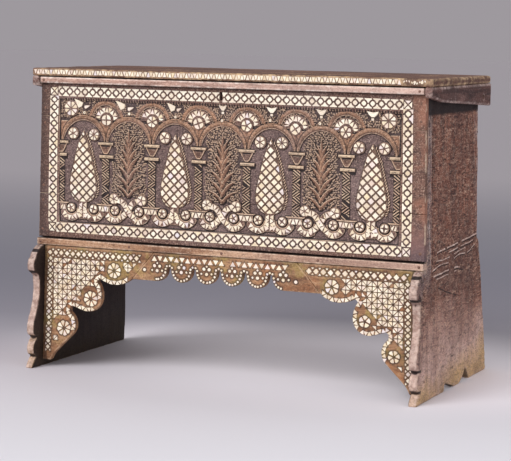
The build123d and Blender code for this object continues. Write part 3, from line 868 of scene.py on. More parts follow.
def carve_capital(relief, cx, lean):
    """Two stacked bars with a cup between them, as on a water pot's stand."""
    left = FIELD["left"] + 1
    right = FIELD["right"] - 1
    low = (max(cx - 25 + lean, left), min(cx + 25 + lean, right))
    # painted shadow under the lower bar
    relief.darken((*low, 669, 678), EVERYWHERE, 1.0)
    raise_box(relief, *low, 677.5, 687.5, 8.6, TAN)
    box = (max(cx - 27, left), min(cx + 27, right), 687, 719)
    x, z = relief.near(box)
    half = 7.0 + 15.0 * np.clip((z - 692) / 26, 0, 1) ** 0.9
    depth = np.minimum(half - np.abs(x - cx), z - 690)
    stroke = (depth > 0) & (depth < 3.6)
    relief.raise_to(box, 3.0, depth > 0, 0.45)
    # painted shade in the cup
    relief.darken(box, depth > 0, 0.34)
    relief.raise_to(box, 5.6 - 0.35 * (depth - 1.8) ** 2, stroke, TAN * 0.9)
    slot = (z > 714.5) & (np.abs(x - cx) < 14)
    # a slot under the rim bar, cut down and painted dark as shade
    relief.cut_to(box, 0.5, slot)
    relief.darken(box, slot, 1.0)
    raise_box(relief, max(cx - 27, left), min(cx + 27, right), 718.5, 728, 8.4, TAN)


def carve_arch(relief, box, across, low, rolls, tone):
    """An arch of a broad roll outside and a lower and narrower one inside."""
    z = relief.near(box)[1]
    broad = rolls[0] * np.sqrt(np.clip(1 - ((across - 0.27) / 0.74) ** 2, 0, 1)) ** 0.7
    narrow = rolls[1] * np.sqrt(np.clip(1 - ((across + 0.74) / 0.27) ** 4, 0, 1))
    inside = (np.abs(across) < 1) & (z > low)
    outer = across >= -0.47
    relief.raise_to(box, narrow, inside & ~outer, 0.45)
    relief.raise_to(box, broad, inside & outer, tone)


def carve_lower_arch(relief, cx):
    """A round arch, and the wedge where it meets its neighbours."""
    box = (max(cx - 82, FIELD["left"] + 1), min(cx + 82, FIELD["right"] - 1), 727, 815)
    x, z = relief.near(box)
    radius = np.hypot((x - cx) * 0.985, z - LOWER_ARCH_Z)
    inner = 60.5 + 9.5 * (1 - np.clip((z - LOWER_ARCH_Z) / 50, 0, 1)) ** 1.2
    across = 2 * (radius - inner) / (78.5 - inner) - 1
    carve_arch(relief, box, across, 729, (6.9, 5.0), 0.73)
    wedge = (radius > 77.5) & (np.abs(x - cx) > 45) & (z > 729) & (z < 792)
    crease = 5.4 - 2.6 * np.exp(-((np.abs(x - cx) - 81) / 3.0) ** 2)
    relief.raise_to(box, crease, wedge, ORANGE)
    # painted shade in the wedge beside the arch, deepest at its foot
    relief.darken(box, wedge & (radius < 80.5), 0.7)
    relief.darken(box, wedge & (z < 735), 0.9)


def carve_upper_arch(relief, cx):
    """A flatter arch behind, springing from the lower arches, beaded along its back."""
    box = (cx - 64, cx + 64, 806, 860)
    x, z = relief.near(box)
    across = (np.hypot(x - cx, z - UPPER_ARCH_Z) - 55) / 7.2
    carve_arch(relief, box, across, 807, (5.4, 4.2), 0.71)
    for x_bead, z_bead in arc(cx, UPPER_ARCH_Z, 62.5, 18, 162, 22):
        raise_disc(relief, x_bead, z_bead, 2.6, 4.6, 2.4)


def cypress_outline(cx):
    """A cypress about its axis, pointed above and round below."""
    right = [(0, 763), (6, 752), (15, 733), (24, 705), (32, 676), (40, 640), (47, 612),
             (50, 590), (48, 570), (41, 553), (30, 541), (15, 534)]
    left = [(-x * 0.98, z) for x, z in reversed(right[1:])]
    return [(cx + x, z) for x, z in right + left]


def carve_cypress(relief, cx):
    """A swelling cypress, with a twisted rope down its right side."""
    outline = cypress_outline(cx)
    box = box_of(outline, 12)
    x, z = relief.near(box)
    depth = polygon_depth(x, z, outline)
    swell = 4.8 + 2.4 * np.sqrt(np.clip(depth, 0, 40) / 40)
    relief.raise_to(box, np.minimum(swell, dome(depth, 3.0, 9.0)), depth > 0, TAN * 0.62)
    relief.darken(box, depth > 1.6, 0.5)
    rope = outline[1:10]
    d, where, side = line_place(x, z, [(px + 4.6, pz) for px, pz in rope])[:3]
    strands = 4.0 + 2.6 * np.sin(2 * math.pi * (where + 1.2 * side) / 8.2)
    relief.raise_to(box, np.minimum(strands, dome(3.4 - d, 3.0, 6.0)), d < 3.4, ORANGE)
    # painted shade between the rope's strands
    relief.darken(box, (d < 3.4) & (strands < 3.2), 1.0)


BLADES = (
    # height of the foot, how far out and how high the tip is, half its width
    (724, 0, 778, 6.0),
    (704, 20, 758, 6.2),
    (682, 27, 740, 7.0),
    (658, 34, 718, 7.6),
    (633, 40, 692, 8.0),
    (607, 45, 662, 8.0),
    (582, 50, 632, 7.6),
    (560, 55, 600, 6.6),
)


def leaf_width(share):
    """A blade's width along its length: full from the foot, then pointed."""
    return np.clip(1 - np.clip((share - 0.35) / 0.65, 0, 1) ** 1.7, 0.12, 1)


def carve_blade(relief, line, half, out):
    """A blade laid over those behind: its upper edge sharp, proud and painted lighter, its lower side
    painted in shade, a cut below painted dark as shade.
    """
    box = box_of(line, half + 5)
    rows, columns = relief.part(*box)
    x, z = relief.near(box)
    d, where, side, length = line_place(x, z, line)
    width = half * leaf_width(where / length)
    rise = np.sign(side) * out * d / np.maximum(width, 0.1)
    # a cut below the blade, painted dark as shade
    cut = (d < width + 2.4) & (rise < 0.4)
    relief.up[rows, columns][cut] = 0.2
    relief.tone[rows, columns][cut] = DARK
    relief.dark[rows, columns][cut] = 1.0
    inside = d < width - 0.6
    heights = 4.2 + 2.6 * rise
    relief.up[rows, columns][inside] = heights[inside]
    # the upper edge painted lighter, as a highlight
    relief.tone[rows, columns][inside] = (0.55 + 0.4 * np.clip(rise, 0, 1) ** 2)[inside]
    # the lower side painted in shade
    shade = 0.2 + 0.75 * np.clip(-rise, 0, 1) - 0.5 * np.clip(rise, 0, 1)
    relief.dark[rows, columns][inside] = np.clip(shade, 0, 1)[inside]


def carve_palm(relief, cx):
    """A palm of paired blades, each lower pair in front of the pair above it."""
    for foot, out, tip, half in BLADES:
        for side in ((-1, 1) if out else (1,)):
            rise = tip - foot
            line = smooth_line([(cx + side * 1.0, foot), (cx + side * out * 0.40, foot + rise * 0.6),
                                (cx + side * out, tip)])
            carve_blade(relief, line, half, side)


def carve_scroll(relief):
    """The running scroll along the foot: a festoon under each volute."""
    for k, cx in enumerate(VOLUTES):
        line = festoon(k)
        raise_line(relief, line, 10.2, 6.4, MID, 2.0)
        raise_line(relief, arc(cx, SCROLL_Z, 20.6, 185, 355, 16), 1.9, 5.4, TAN * 0.85, 1.8)
    for left, right in scroll_bars():
        raise_box(relief, left, right, 507, 527, 5.8, MID, 2.0)
        raise_box(relief, left - 8, right + 8, 527, 532.5, 6.8, TAN * 0.8, 2.0)
    for cx in VOLUTES:
        box = (cx - 19, cx + 19, 496, 534)
        x, z = relief.near(box)
        r = np.hypot(x - cx, z - SCROLL_Z)
        moat = (r < 18.8) & (r > 13) & (z < 530)
        relief.cut_to(box, 0.0, moat)
        # painted shadow in the moat round each volute
        relief.darken(box, moat, 1.0)
        raise_disc(relief, cx, SCROLL_Z, 15.2, 7.6, 4.0)
    for cx in CYPRESSES:
        raise_box(relief, cx - 15, cx + 15, 480, 545, 6.4, MID, 2.5)


def festoon(k):
    """The middle line of the arc under volute k, cut short where a bar or an arm joins."""
    cx = VOLUTES[k]
    bar_left = k % 2 == 0
    over_palm = k in (2, 3, 6, 7, 10, 11)
    tall = 300 if over_palm else 352
    start, stop = (208, tall) if bar_left else (540 - tall, 332)
    line = arc(cx, SCROLL_Z, 32, start, stop, 18)
    return [(min(max(x, FIELD["left"] + 4), FIELD["right"] - 4), z) for x, z in line]


def scroll_bars():
    """The level bars between volutes, across each shaft's foot, and at both ends."""
    pairs = [(VOLUTES[a] + 17, VOLUTES[a + 1] - 17) for a in range(1, 12, 2)]
    pairs.append((FIELD["left"] + 2, VOLUTES[0] - 17))
    pairs.append((VOLUTES[-1] + 17, FIELD["right"] - 2))
    return pairs


def palm_arms(cx):
    """The two inlaid arms that cross under a palm and rise to a rosette each."""
    right = [(-36, 487), (-14, 500), (2, 520), (14, 540), (30, 547), (46, 549)]
    left = [(34, 487), (12, 500), (-4, 520), (-16, 540), (-32, 547), (-48, 547)]
    return [smooth_line([(cx + x, z) for x, z in arm], 2) for arm in (right, left)]


def carve_crossings(relief):
    """The beds of the arms that cross under each palm, and of their rosettes."""
    for cx in PALMS:
        for arm in palm_arms(cx):
            raise_line(relief, arm, 10.5, 6.0, MID, 2.5)
        raise_disc(relief, cx - 50, 551, 19, 7.4, 5.0)
        raise_disc(relief, cx + 47, 551, 19, 7.4, 5.0)


TIP_ROSETTES = ((-527, 752), (-453, 750), (-204, 751), (-129, 751), (118, 752),
                (190, 753), (437, 750), (517, 751))
ARCH_ROSETTES = ((-408, 798), (-248, 799), (-89, 800), (73, 800), (233, 797), (395, 795))
CORNER_ROSETTES = ((-535, 830), (529, 834))
ARCH_BEADS = ((-487, 818), (-329, 820), (-168, 817), (-10, 812), (150, 819), (311, 817))


def carve_front():
    """The whole relief, the pieces behind before those in front."""
    relief = Relief()
    sink_field(relief)
    for cx in PALMS:
        carve_palm(relief, cx)
    for cx in SHAFTS:
        carve_shaft(relief, cx)
    for cx in UPPER_ARCHES:
        carve_upper_arch(relief, cx)
    for cx in LOWER_ARCHES:
        carve_lower_arch(relief, cx)
    for cx in CYPRESSES:
        carve_cypress(relief, cx)
    for k, cx in enumerate(SHAFTS):
        carve_capital(relief, cx, (-4, 3, -1, 2, 3, -2, 4, 0)[k])
    for x, z in TIP_ROSETTES:
        raise_disc(relief, x, z, 20, 7.4, 5.0)
    for x, z in ARCH_ROSETTES:
        box = (x - 42, x + 42, z - 4, z + 42)
        gx, gz = relief.near(box)
        r = np.hypot(gx - x, gz - z)
        relief.raise_to(box, dome(43 - r, 2.5, 4.4), (r < 43) & (gz > z), MID)
        raise_disc(relief, x, z, 21, 7.6, 5.0)
    for x, z in CORNER_ROSETTES:
        raise_disc(relief, x, z, 27, 7.2, 5.0)
    for x, z in ARCH_BEADS:
        raise_disc(relief, x, z, 6.0, 7.5, 6.0, TAN)
    carve_scroll(relief)
    carve_crossings(relief)
    bead_row(relief)
    shade_grounds(relief)
    relief.up = blurred(relief.up, 1)
    # painted shade and grime: dark deep in the hollows and wherever shade is painted
    relief.hollow = np.maximum((blurred(relief.up, 14) - relief.up) / 1.5, relief.dark)
    relief.fine = blurred(relief.up, 3) - relief.up
    return relief


def shade_grounds(relief):
    """The ground is painted darkest under the leaves, as shade: in the palms' bays and over the
    arches.
    """
    x, z = relief.x, relief.z
    low = (relief.up < LOW_GROUND) & (x > FIELD["left"] + 2) & (x < FIELD["right"] - 2)
    leafy = (z > 790) & (z < 856)
    for cx in PALMS:
        leafy |= (np.hypot(x - cx, np.maximum(z - LOWER_ARCH_Z, 0)) < 60) & (z > 558)
    relief.dark = np.where(low & leafy, np.maximum(relief.dark, 0.5), relief.dark)


def bead_row(relief):
    """A rail of small beads under the top border, with painted shade between them."""
    box = (-556, 566, 855.5, 864)
    x, z = relief.near(box)
    beads = np.abs(np.cos(math.pi * x / 9.0))
    heights = 3.2 + 2.8 * np.sqrt(np.clip(1 - ((z - BEAD_Z) / 4.2) ** 2, 0, 1)) * (beads > 0.5)
    relief.raise_to(box, heights, np.abs(z - BEAD_Z) < 4.2, MID)
    # painted shade between the beads
    relief.darken(box, (np.abs(z - BEAD_Z) < 4.2) & (beads < 0.55), 1.0)


RELIEF = carve_front()


def surface(x, z):
    """Depth of the carved front at real points, back from the boards' face."""
    return FACE - RELIEF.value(RELIEF.up, x, np.asarray(z) + DROOP * np.asarray(x))


def half_width(z):
    """Half the front's width, which follows the leaning end boards."""
    low = extent("front_board_lower")
    high = extent("front_board_upper")
    foot, top = low[0][2], high[1][2]
    return low[1][0] + (high[1][0] - low[1][0]) * (z - foot) / (top - foot)


def in_field_of(x, z):
    """Whether each place lies within the sunk field."""
    inside = (x > FIELD["left"]) & (x < FIELD["right"])
    return inside & (z > FIELD["foot"]) & (z < FIELD["top"])


def stations(low, high, step):
    """Even places from low to high, closer together by both ends."""
    count = max(int((high - low - 5.0) / step), 1)
    inner = np.linspace(low + 2.5, high - 2.5, count + 1)
    return np.concatenate([[low, low + 0.5, low + 1.3], inner, [high - 1.3, high - 0.5, high]])


KEYHOLE = dict(x=-15.0, foot=875.0, top=899.0, half=4.0)


def board_face(low, high, step, seed):
    """A front board's places, and its carved face's depth and wear at each of them."""
    zs = stations(low[2], high[2], step)
    us = stations(-high[0], high[0], step) / high[0]
    u, z = np.meshgrid(us, zs)
    half = half_width(z)
    x = u * half
    up, tone, hollow, fine = (RELIEF.value(grid, x, z + DROOP * x) for grid in
                              (RELIEF.up, RELIEF.tone, RELIEF.hollow, RELIEF.fine))
    edge = np.minimum(np.minimum(z - low[2], high[2] - z), half - np.abs(x))
    edge = edge + 0.6 * noise_xz(x, z, (30.0, 9.0), seed)
    radius = np.where(in_field_of(x, z), 0.9, 2.2)
    y = FACE - up + radius * (1 - rounding(edge / radius))
    y = y + 0.25 * noise_xz(x, z, (90.0, 12.0), seed + 1) + 0.12 * noise_xz(x, z, (14, 3), seed + 2)
    slot = (np.abs(x - KEYHOLE["x"]) < KEYHOLE["half"])
    slot &= (z > KEYHOLE["foot"]) & (z < KEYHOLE["top"])
    y = np.where(slot, high[1] - 1.0, y)
    foot = extent("front_board_lower")[0][2]
    # painted shade in the keyhole and in the gap along the lower board's foot
    hollow = np.maximum(np.where(slot, 1.0, hollow), 0.9 * np.clip(1 - (z - foot) / 3.5, 0, 1))
    in_field = (x > FIELD["left"]) & (x < FIELD["right"])
    rub = smoothstep(noise_xz(x, z, (60.0, 30.0), seed + 3), -0.1, 0.6)
    rub = np.clip(1.0 - edge / 2.0, 0, 1) * rub * np.where(in_field, 0.15, 0.8)
    worn = np.maximum(np.clip(-fine / 0.8, 0, 1), rub)
    return x, y, z, {"edge": worn, "hollow": np.clip(hollow, 0, 1), "tone": tone}


def front_board(node, step, seed):
    """One carved board of the front, its arrises rounded, its back left plain."""
    low, high = extent(node)
    x, y, z, marks = board_face(low, high, step, seed)
    front = np.stack([x.ravel(), y.ravel(), z.ravel()], 1)
    index = np.arange(x.size).reshape(x.shape)
    quads = np.stack([index[:-1, :-1], index[:-1, 1:], index[1:, 1:], index[1:, :-1]], -1)
    faces = [tuple(q) for q in quads.reshape(-1, 4).tolist()]
    rim = np.concatenate([index[0, :], index[1:, -1], index[-1, -2::-1], index[-2:0:-1, 0]])
    back = front[rim].copy()
    back[:, 1] = high[1]
    under = [len(front) + k for k in range(len(rim))]
    loop = rim.tolist()
    for here, after in zip(range(len(loop)), [*range(1, len(loop)), 0]):
        faces.append((loop[here], under[here], under[after], loop[after]))
    faces.append(tuple(under))
    mesh = built_mesh(node + "_carved", np.concatenate([front, back]), faces)
    for name, values in marks.items():
        plain = np.full(len(rim), MID if name == "tone" else 0.0)
        set_attribute(mesh, name, np.concatenate([values.ravel(), plain]))
    piece = new_object(node + "_carved", mesh, MATERIALS["front"], "case", "walnut_case")
    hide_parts(node)


front_board("front_board_lower", 1.7, 41)
front_board("front_board_middle", 1.9, 42)
front_board("front_board_upper", 1.6, 43)


# ---------------------------------------------------------------- mother-of-pearl

def signed_area(outline):
    """A closed outline's area, negative where it goes round rightward."""
    total = 0.0
    for (ax, az), (bx, bz) in zip(outline, outline[1:] + outline[:1]):
        total += ax * bz - bx * az
    return total / 2


def corner_ways(p):
    """Each side's direction, and the inward bisector of the corner where it starts."""
    ahead = np.roll(p, -1, 0) - p
    ahead /= np.maximum(np.linalg.norm(ahead, axis=1), 1e-6)[:, None]
    behind = np.roll(ahead, 1, 0)
    inward = np.stack([-(ahead[:, 1] + behind[:, 1]), ahead[:, 0] + behind[:, 0]], 1)
    return ahead, behind, inward


def leftward(outline):
    """The same closed outline, going round leftward."""
    return outline[::-1] if signed_area(outline) < 0 else outline


def inset(outline, amount):
    """The outline moved in by an amount, each corner along its own bisector."""
    p = np.array(outline, float)
    inward = corner_ways(p)[2]
    inward /= np.maximum(np.linalg.norm(inward, axis=1), 0.8)[:, None]
    return p + inward * amount


def narrowed(outline, amount):
    """A convex outline with every side moved in by an amount."""
    p = np.array(outline, float)
    ahead, behind, inward = corner_ways(p)
    facing = np.einsum("ij,ij->i", ahead, behind)
    return p + inward * (amount / np.maximum(1 + facing, 0.2))[:, None]


def clipped(outline, fence):
    """The part of a convex outline inside a convex fence, both going round leftward."""
    for (ax, az), (bx, bz) in zip(fence, fence[1:] + fence[:1]):
        kept = []
        for (px, pz), (qx, qz) in zip(outline, outline[1:] + outline[:1]):
            here = (bx - ax) * (pz - az) - (bz - az) * (px - ax)
            there = (bx - ax) * (qz - az) - (bz - az) * (qx - ax)
            if here >= 0:
                kept.append((px, pz))
            if (here >= 0) != (there >= 0):
                t = here / (here - there)
                kept.append((px + (qx - px) * t, pz + (qz - pz) * t))
        outline = kept
        if len(outline) < 3:
            return []
    return spaced(outline, 1.2)


class Inlay:
    """Many small cut pieces of shell, gathered in one mesh."""

    def __init__(self, seed, depth_at, droop=DROOP):
        self.rng = random.Random(seed)
        self.depth_at = depth_at
        self.droop = droop
        self.points = []
        self.faces = []
        self.tint = []
        self.shade = []
        self.rim = []
        self.count = 0

    def chip(self, outline, proud=0.6, bevel=0.7, lost=0.02, hue=None, thick=2.6):
        """One piece with its corners a little off true, its edges rubbed round."""
        rng = self.rng
        if rng.random() < lost:
            return
        outline = leftward([tuple(q) for q in outline])
        wander = (rng.uniform(-0.5, 0.5), rng.uniform(-0.5, 0.5))
        outline = [(x + wander[0] + rng.uniform(-0.35, 0.35),
                    z + wander[1] + rng.uniform(-0.35, 0.35)) for x, z in outline]
        outer = np.array(outline, float)
        inner = inset(outline, bevel)
        outer[:, 1] -= self.droop * outer[:, 0]
        inner[:, 1] -= self.droop * inner[:, 0]
        centre = outer.mean(0)
        middle = float(self.depth_at(centre[:1], centre[1:])[0])
        depth = self.depth_at(outer[:, 0], outer[:, 1])
        depth = np.clip(depth, middle - 1.6, middle + 1.0)
        tip = rng.uniform(-0.15, 0.15)
        top = np.stack([inner[:, 0], depth - proud + tip, inner[:, 1]], 1)
        rim = np.stack([outer[:, 0], depth - proud + tip + bevel * 0.8, outer[:, 1]], 1)
        base = np.stack([outer[:, 0], depth + thick, outer[:, 1]], 1)
        n = len(outline)
        start = self.count
        self.points += [top, rim, base]
        self.faces.append(tuple(range(start, start + n)))
        for k in range(n):
            j = (k + 1) % n
            self.faces.append((start + n + k, start + n + j, start + j, start + k))
            self.faces.append((start + 2 * n + k, start + 2 * n + j, start + n + j, start + n + k))
        self.count += 3 * n
        own = rng.random() if hue is None else hue
        self.tint += [own] * (3 * n)
        self.shade += [rng.random()] * (3 * n)
        self.rim += [0.0] * n + [1.0] * n + [2.0] * n

    def mesh(self, name):
        return built_mesh(name, np.concatenate(self.points), self.faces)

    def build(self, name, body="case"):
        mesh = self.mesh(name)
        set_attribute(mesh, "tint", self.tint)
        set_attribute(mesh, "shade", self.shade)
        set_attribute(mesh, "rim", np.minimum(self.rim, 1.0))
        new_object(name, mesh, MATERIALS["shell"], body, "mother_of_pearl", smooth=False)

    def build_wood(self, name, rubbed):
        """The same pieces left as carved wood, rubbed on top and more so round the rim, and painted
        dark at their foot as shade.
        """
        mesh = self.mesh(name)
        rim = np.array(self.rim)
        set_attribute(mesh, "tone", self.tint)
        set_attribute(mesh, "edge", np.choose(rim.astype(int), [*rubbed, 0.0]))
        # painted shade at each piece's foot
        set_attribute(mesh, "hollow", np.where(rim > 1.5, 1.0, 0.0))
        new_object(name, mesh, MATERIALS["front"], "case", "walnut_case", smooth=False)

    def disc(self, cx, cz, radius, sides=10, **settings):
        ring = arc(cx, cz, radius, 0, 360, sides)[:-1]
        self.chip(ring, **settings)

    def row(self, path, half, pitch, share):
        """Triangles along a line, pointing one way and the other by turns."""
        lengths = lengths_along(path)
        count = max(int(round(lengths[-1] / pitch)), 1)
        step = lengths[-1] / count
        for k in range(count):
            s = (k + 0.5) * step
            x, z, ux, uz = along_line(path, lengths, s)
            side = 1 if k % 2 else -1
            nx, nz = -uz * side * half, ux * side * half
            w = step * share
            tri = [(x - ux * w - nx, z - uz * w - nz), (x + ux * w - nx, z + uz * w - nz),
                   (x + nx + ux * 0.8, z + nz + uz * 0.8), (x + nx - ux * 0.8, z + nz - uz * 0.8)]
            self.chip(tri)

    def rosette(self, cx, cz, radius, petals, turn, gap, hole=0.2):
        """Wedges of shell round a point, their outer edges rounded."""
        for k in range(petals):
            middle = math.radians(turn + 360 * k / petals)
            wide = math.pi / petals
            outline = []
            inner = max(radius * hole, gap / math.sin(wide))
            outline.append((cx + inner * math.cos(middle), cz + inner * math.sin(middle)))
            slack = gap / radius
            for j in range(4):
                a = middle - wide + slack + (2 * wide - 2 * slack) * j / 3
                r = radius * (0.93 if j in (0, 3) else 1.0)
                outline.append((cx + r * math.cos(a), cz + r * math.sin(a)))
            self.chip(outline, lost=0.0)


def lengths_along(path):
    """How far along a line each of its points lies."""
    lengths = [0.0]
    for (ax, az), (bx, bz) in zip(path, path[1:]):
        lengths.append(lengths[-1] + math.hypot(bx - ax, bz - az))
    return lengths


def along_line(path, lengths, s):
    """The place and the direction at a length along a line."""
    for k in range(len(path) - 1):
        if s <= lengths[k + 1] or k == len(path) - 2:
            ax, az = path[k]
            bx, bz = path[k + 1]
            length = lengths[k + 1] - lengths[k]
            ux, uz = (bx - ax) / length, (bz - az) / length
            t = s - lengths[k]
            return ax + ux * t, az + uz * t, ux, uz


def clear_of_keyhole(outline):
    """A chip's outline, or what is left of it on each side of the keyhole."""
    left, right = KEYHOLE["x"] - KEYHOLE["half"] - 1, KEYHOLE["x"] + KEYHOLE["half"] + 1
    low, high = KEYHOLE["foot"] - 2, KEYHOLE["top"] + 2
    xs = [q[0] for q in outline]
    zs = [q[1] for q in outline]
    if max(xs) < left or min(xs) > right or max(zs) < low or min(zs) > high:
        return [outline]
    outline = leftward(outline)
    sides = ((left - 60, left), (right, right + 60))
    parts = [clipped(outline, [(a, low - 40), (b, low - 40), (b, high + 40), (a, high + 40)])
             for a, b in sides]
    return [part for part in parts if len(part) > 2 and signed_area(part) > 8]


def turned(points, cx, cz, upright):
    """A unit's points about its middle: along x, or upright along z."""
    return [(cx - b, cz + a) if upright else (cx + a, cz + b) for a, b in points]


BAND_RING = 11.9


def band_unit(inlay, cx, cz, pitch, upright, ends=(), hue=None):
    """A diamond in a dark ring, and the hollow-sided triangles before the next ring."""
    squash = min(pitch / 28.0, 1.0)
    eye = []
    for k in range(12):
        a = math.radians(30 * k)
        r = 7.2 + 0.8 * math.cos(4 * a)
        eye.append((r * squash * math.cos(a), r * math.sin(a)))
    for part in clear_of_keyhole(turned(eye, cx, cz, upright)):
        inlay.chip(part, lost=0.004, bevel=0.6, hue=hue)
    sweep = [(BAND_RING * squash * math.cos(math.radians(t)), BAND_RING * math.sin(math.radians(t)))
             for t in (79, 60, 40, 18)]
    mirrored = [(pitch - a, b) for a, b in reversed(sweep)]
    between = ([(1.9, BAND_HALF)] + sweep + [(pitch / 2, 1.3)] + mirrored
               + [(pitch - 2.4, BAND_HALF)])
    reach = pitch / 2 - 0.8
    corner = [(1.7, BAND_HALF)] + sweep + [(reach, 2.2), (reach, BAND_HALF)]
    for side in (-1, 1):
        if "last" not in ends:
            outline = [(a, b * side) for a, b in between]
            for part in clear_of_keyhole(turned(outline, cx, cz, upright)):
                inlay.chip(part, lost=0.006, bevel=0.6, hue=hue)
        for way, end in ((-1, "first"), (1, "last")):
            if end in ends:
                outline = [(a * way, b * side) for a, b in corner]
                inlay.chip(turned(outline, cx, cz, upright), lost=0.0, bevel=0.6)


def ends_at(k, count):
    return ("first",) if k == 0 else ("last",) if k == count - 1 else ()


def border():
    """The four bands of diamonds, and a cross of quarters at each corner."""
    inlay = Inlay(101, surface)
    for z, start, pitch, hue in ((BAND_TOP, -568, 27.5, 0.7),
                                 (BAND_FOOT, -573, 27.75, None)):
        for k in range(42):
            band_unit(inlay, start + pitch * k, z, pitch, False, ends_at(k, 42), hue)
    for places, start, pitch, count in ((LEFT_PLACES, 477, 25.3, 16), (RIGHT_PLACES, 479, 29.0, 14)):
        for k in range(count):
            z = start + pitch * k
            x = float(np.interp(z, MARGIN_HEIGHTS, places))
            band_unit(inlay, x, z, pitch, True, ends_at(k, count))
    for cx, cz in ((-596, 883), (-601, 449), (593, 450), (587, 883)):
        for k in range(4):
            corners = [(cx, cz)] + arc(cx, cz, 19.4, 45 + 90 * k, 135 + 90 * k, 1)
            inlay.chip(narrowed(corners, 1.7).tolist(), lost=0.0)
    inlay.build("shell_border")


def cypress_inlay():
    """Diamonds over each cypress, and two rows of triangles down its trunk."""
    inlay = Inlay(102, surface)
    for cx in CYPRESSES:
        outline = leftward(cypress_outline(cx))
        fence = [(px - 0.8, pz) for px, pz in narrowed(outline, 2.2).tolist()]
        for j in range(17):
            z = 538.4 + 13.6 * j
            for i in range(-4, 5):
                if (i + j) % 2:
                    continue
                x = cx + 14 * i
                diamond = [(x + 10.3, z), (x, z + 10.0), (x - 10.3, z), (x, z - 10.0)]
                part = clipped(diamond, fence)
                if len(part) > 2 and signed_area(part) > 18:
                    inlay.chip(part, lost=0.0)
        inlay.row([(cx - 7.5, 486), (cx - 7.5, 532)], 5.4, 12.0, share=0.7)
        inlay.row([(cx + 7.5, 532), (cx + 7.5, 486)], 5.4, 12.0, share=0.7)
    inlay.build("shell_cypresses")


def rosette_inlay():
    """The rosettes, the fans under the upper arches, and the beads on the lower ones."""
    inlay = Inlay(103, surface)
    for k, (x, z) in enumerate(TIP_ROSETTES):
        inlay.rosette(x, z, 16.8, (6, 8, 5, 6, 6, 8, 6, 6)[k], turn=15 * k, gap=1.6)
    for k, (x, z) in enumerate(ARCH_ROSETTES):
        inlay.rosette(x, z, 17.2, (4, 6, 4, 5, 4, 6)[k], turn=45 + 9 * k, gap=1.8)
        fan = arc(x, z, 31.5, 4, 176, 16)
        inlay.row(fan, 7.4, 11.0, share=0.62)
    for x, z in CORNER_ROSETTES:
        inlay.rosette(x, z, 22.5, 8, turn=22.5, gap=1.7)
    for k, x in enumerate(VOLUTES):
        inlay.rosette(x, SCROLL_Z, 12.6, (5, 4, 6, 5)[k % 4], turn=31 * k, gap=1.2, hole=0.3)
    for cx in PALMS:
        inlay.rosette(cx - 50, 551, 15.6, 6, turn=10, gap=1.2)
        inlay.rosette(cx + 47, 551, 15.6, 5, turn=40, gap=1.2)
    for x, z in ARCH_BEADS:
        inlay.disc(x, z, 4.6, lost=0.0)
    inlay.build("shell_rosettes")


def scroll_inlay():
    """Rows of triangles along the festoons, the bars and the palms' crossed arms."""
    inlay = Inlay(104, surface)
    for k in range(len(VOLUTES)):
        inlay.row(spaced(festoon(k)), 8.2, 10.8, share=0.62)
    for left, right in scroll_bars():
        inlay.row([(left + 2, 517), (right - 2, 517)], 7.8, 10.4, share=0.62)
    for cx in PALMS:
        for arm in palm_arms(cx):
            inlay.row(arm[2:-4], 8.0, 10.6, share=0.62)
    inlay.build("shell_scroll")


WINGS = (
    # the tip's place, the root's place, how wide
    ((-524, 861), (-497, 837), 24), ((-468, 842), (-490, 834), 12),
    ((-378, 861), (-347, 836), 24), ((-312, 842), (-336, 833), 13),
    ((-199, 861), (-172, 837), 23), ((-148, 846), (-166, 836), 12),
)
GOBLETS = ((-9, 14), (154, 17), (315, 17), (478, 19))


def shaft_hatching():
    """The shafts' cuts: slanting ribs, their slant turned at every zone."""
    ribs = Inlay(111, surface)
    for cx in SHAFTS:
        left = max(cx - 12, FIELD["left"] + 2)
        right = min(cx + 12, FIELD["right"] - 2)
        for group in range(7):
            low = 531 + 20.6 * group
            zone = [(left, low), (right, low), (right, low + 19.6), (left, low + 19.6)]
            rise = (9.0 if group % 2 else -9.0) * (right - left) / 24
            for k in range(-1, 4):
                z = low + 9.4 * k + 3
                rib = [(left, z - rise - 1.9), (right, z + rise - 1.9),
                       (right, z + rise + 1.9), (left, z - rise + 1.9)]
                rib = clipped(rib, zone)
                if len(rib) > 2 and signed_area(rib) > 10:
                    ribs.chip(rib, proud=2.6, bevel=0.7, lost=0.02,
                              hue=0.6 + 0.4 * ribs.rng.random())
    ribs.build_wood("carved_shaft_ribs", (0.42, 0.8))


def curl_outline(x, z, length, width, angle, bend):
    """A comma of leaf, by its middle, its slant and how much it bends."""
    ring = []
    for side, order in ((1, range(5)), (-1, range(3, 0, -1))):
        for k in order:
            t = k / 4 - 0.5
            across = width * 0.5 * math.cos(math.pi * t) * side
            ring.append((t * length, bend * (1 - 4 * t * t) + across))
    ca, sa = math.cos(angle), math.sin(angle)
    return [(x + a * ca - b * sa, z + a * sa + b * ca) for a, b in ring]


def leafy_place(x, z):
    """Whether carved leaves fill this spot of the ground, and how they lean there."""
    if RELIEF.value(RELIEF.up, x, z) > LOW_GROUND:
        return None
    if 800 < z < 854:
        near_wing = any(abs(x - (a[0] + b[0]) / 2) < 18 and abs(z - (a[1] + b[1]) / 2) < 11
                        for a, b, _ in WINGS)
        near_wing |= any(abs(x - cx) < half and z > 832 for cx, half in GOBLETS)
        return None if near_wing else (0.9 if (x // 23) % 2 else -0.9)
    for cx in PALMS:
        room = 50 if 670 < z < 733 else 60
        if math.hypot(x - cx, max(z - LOWER_ARCH_Z, 0)) < room and z > 562:
            return 0.45 if x > cx else -0.45
    return None


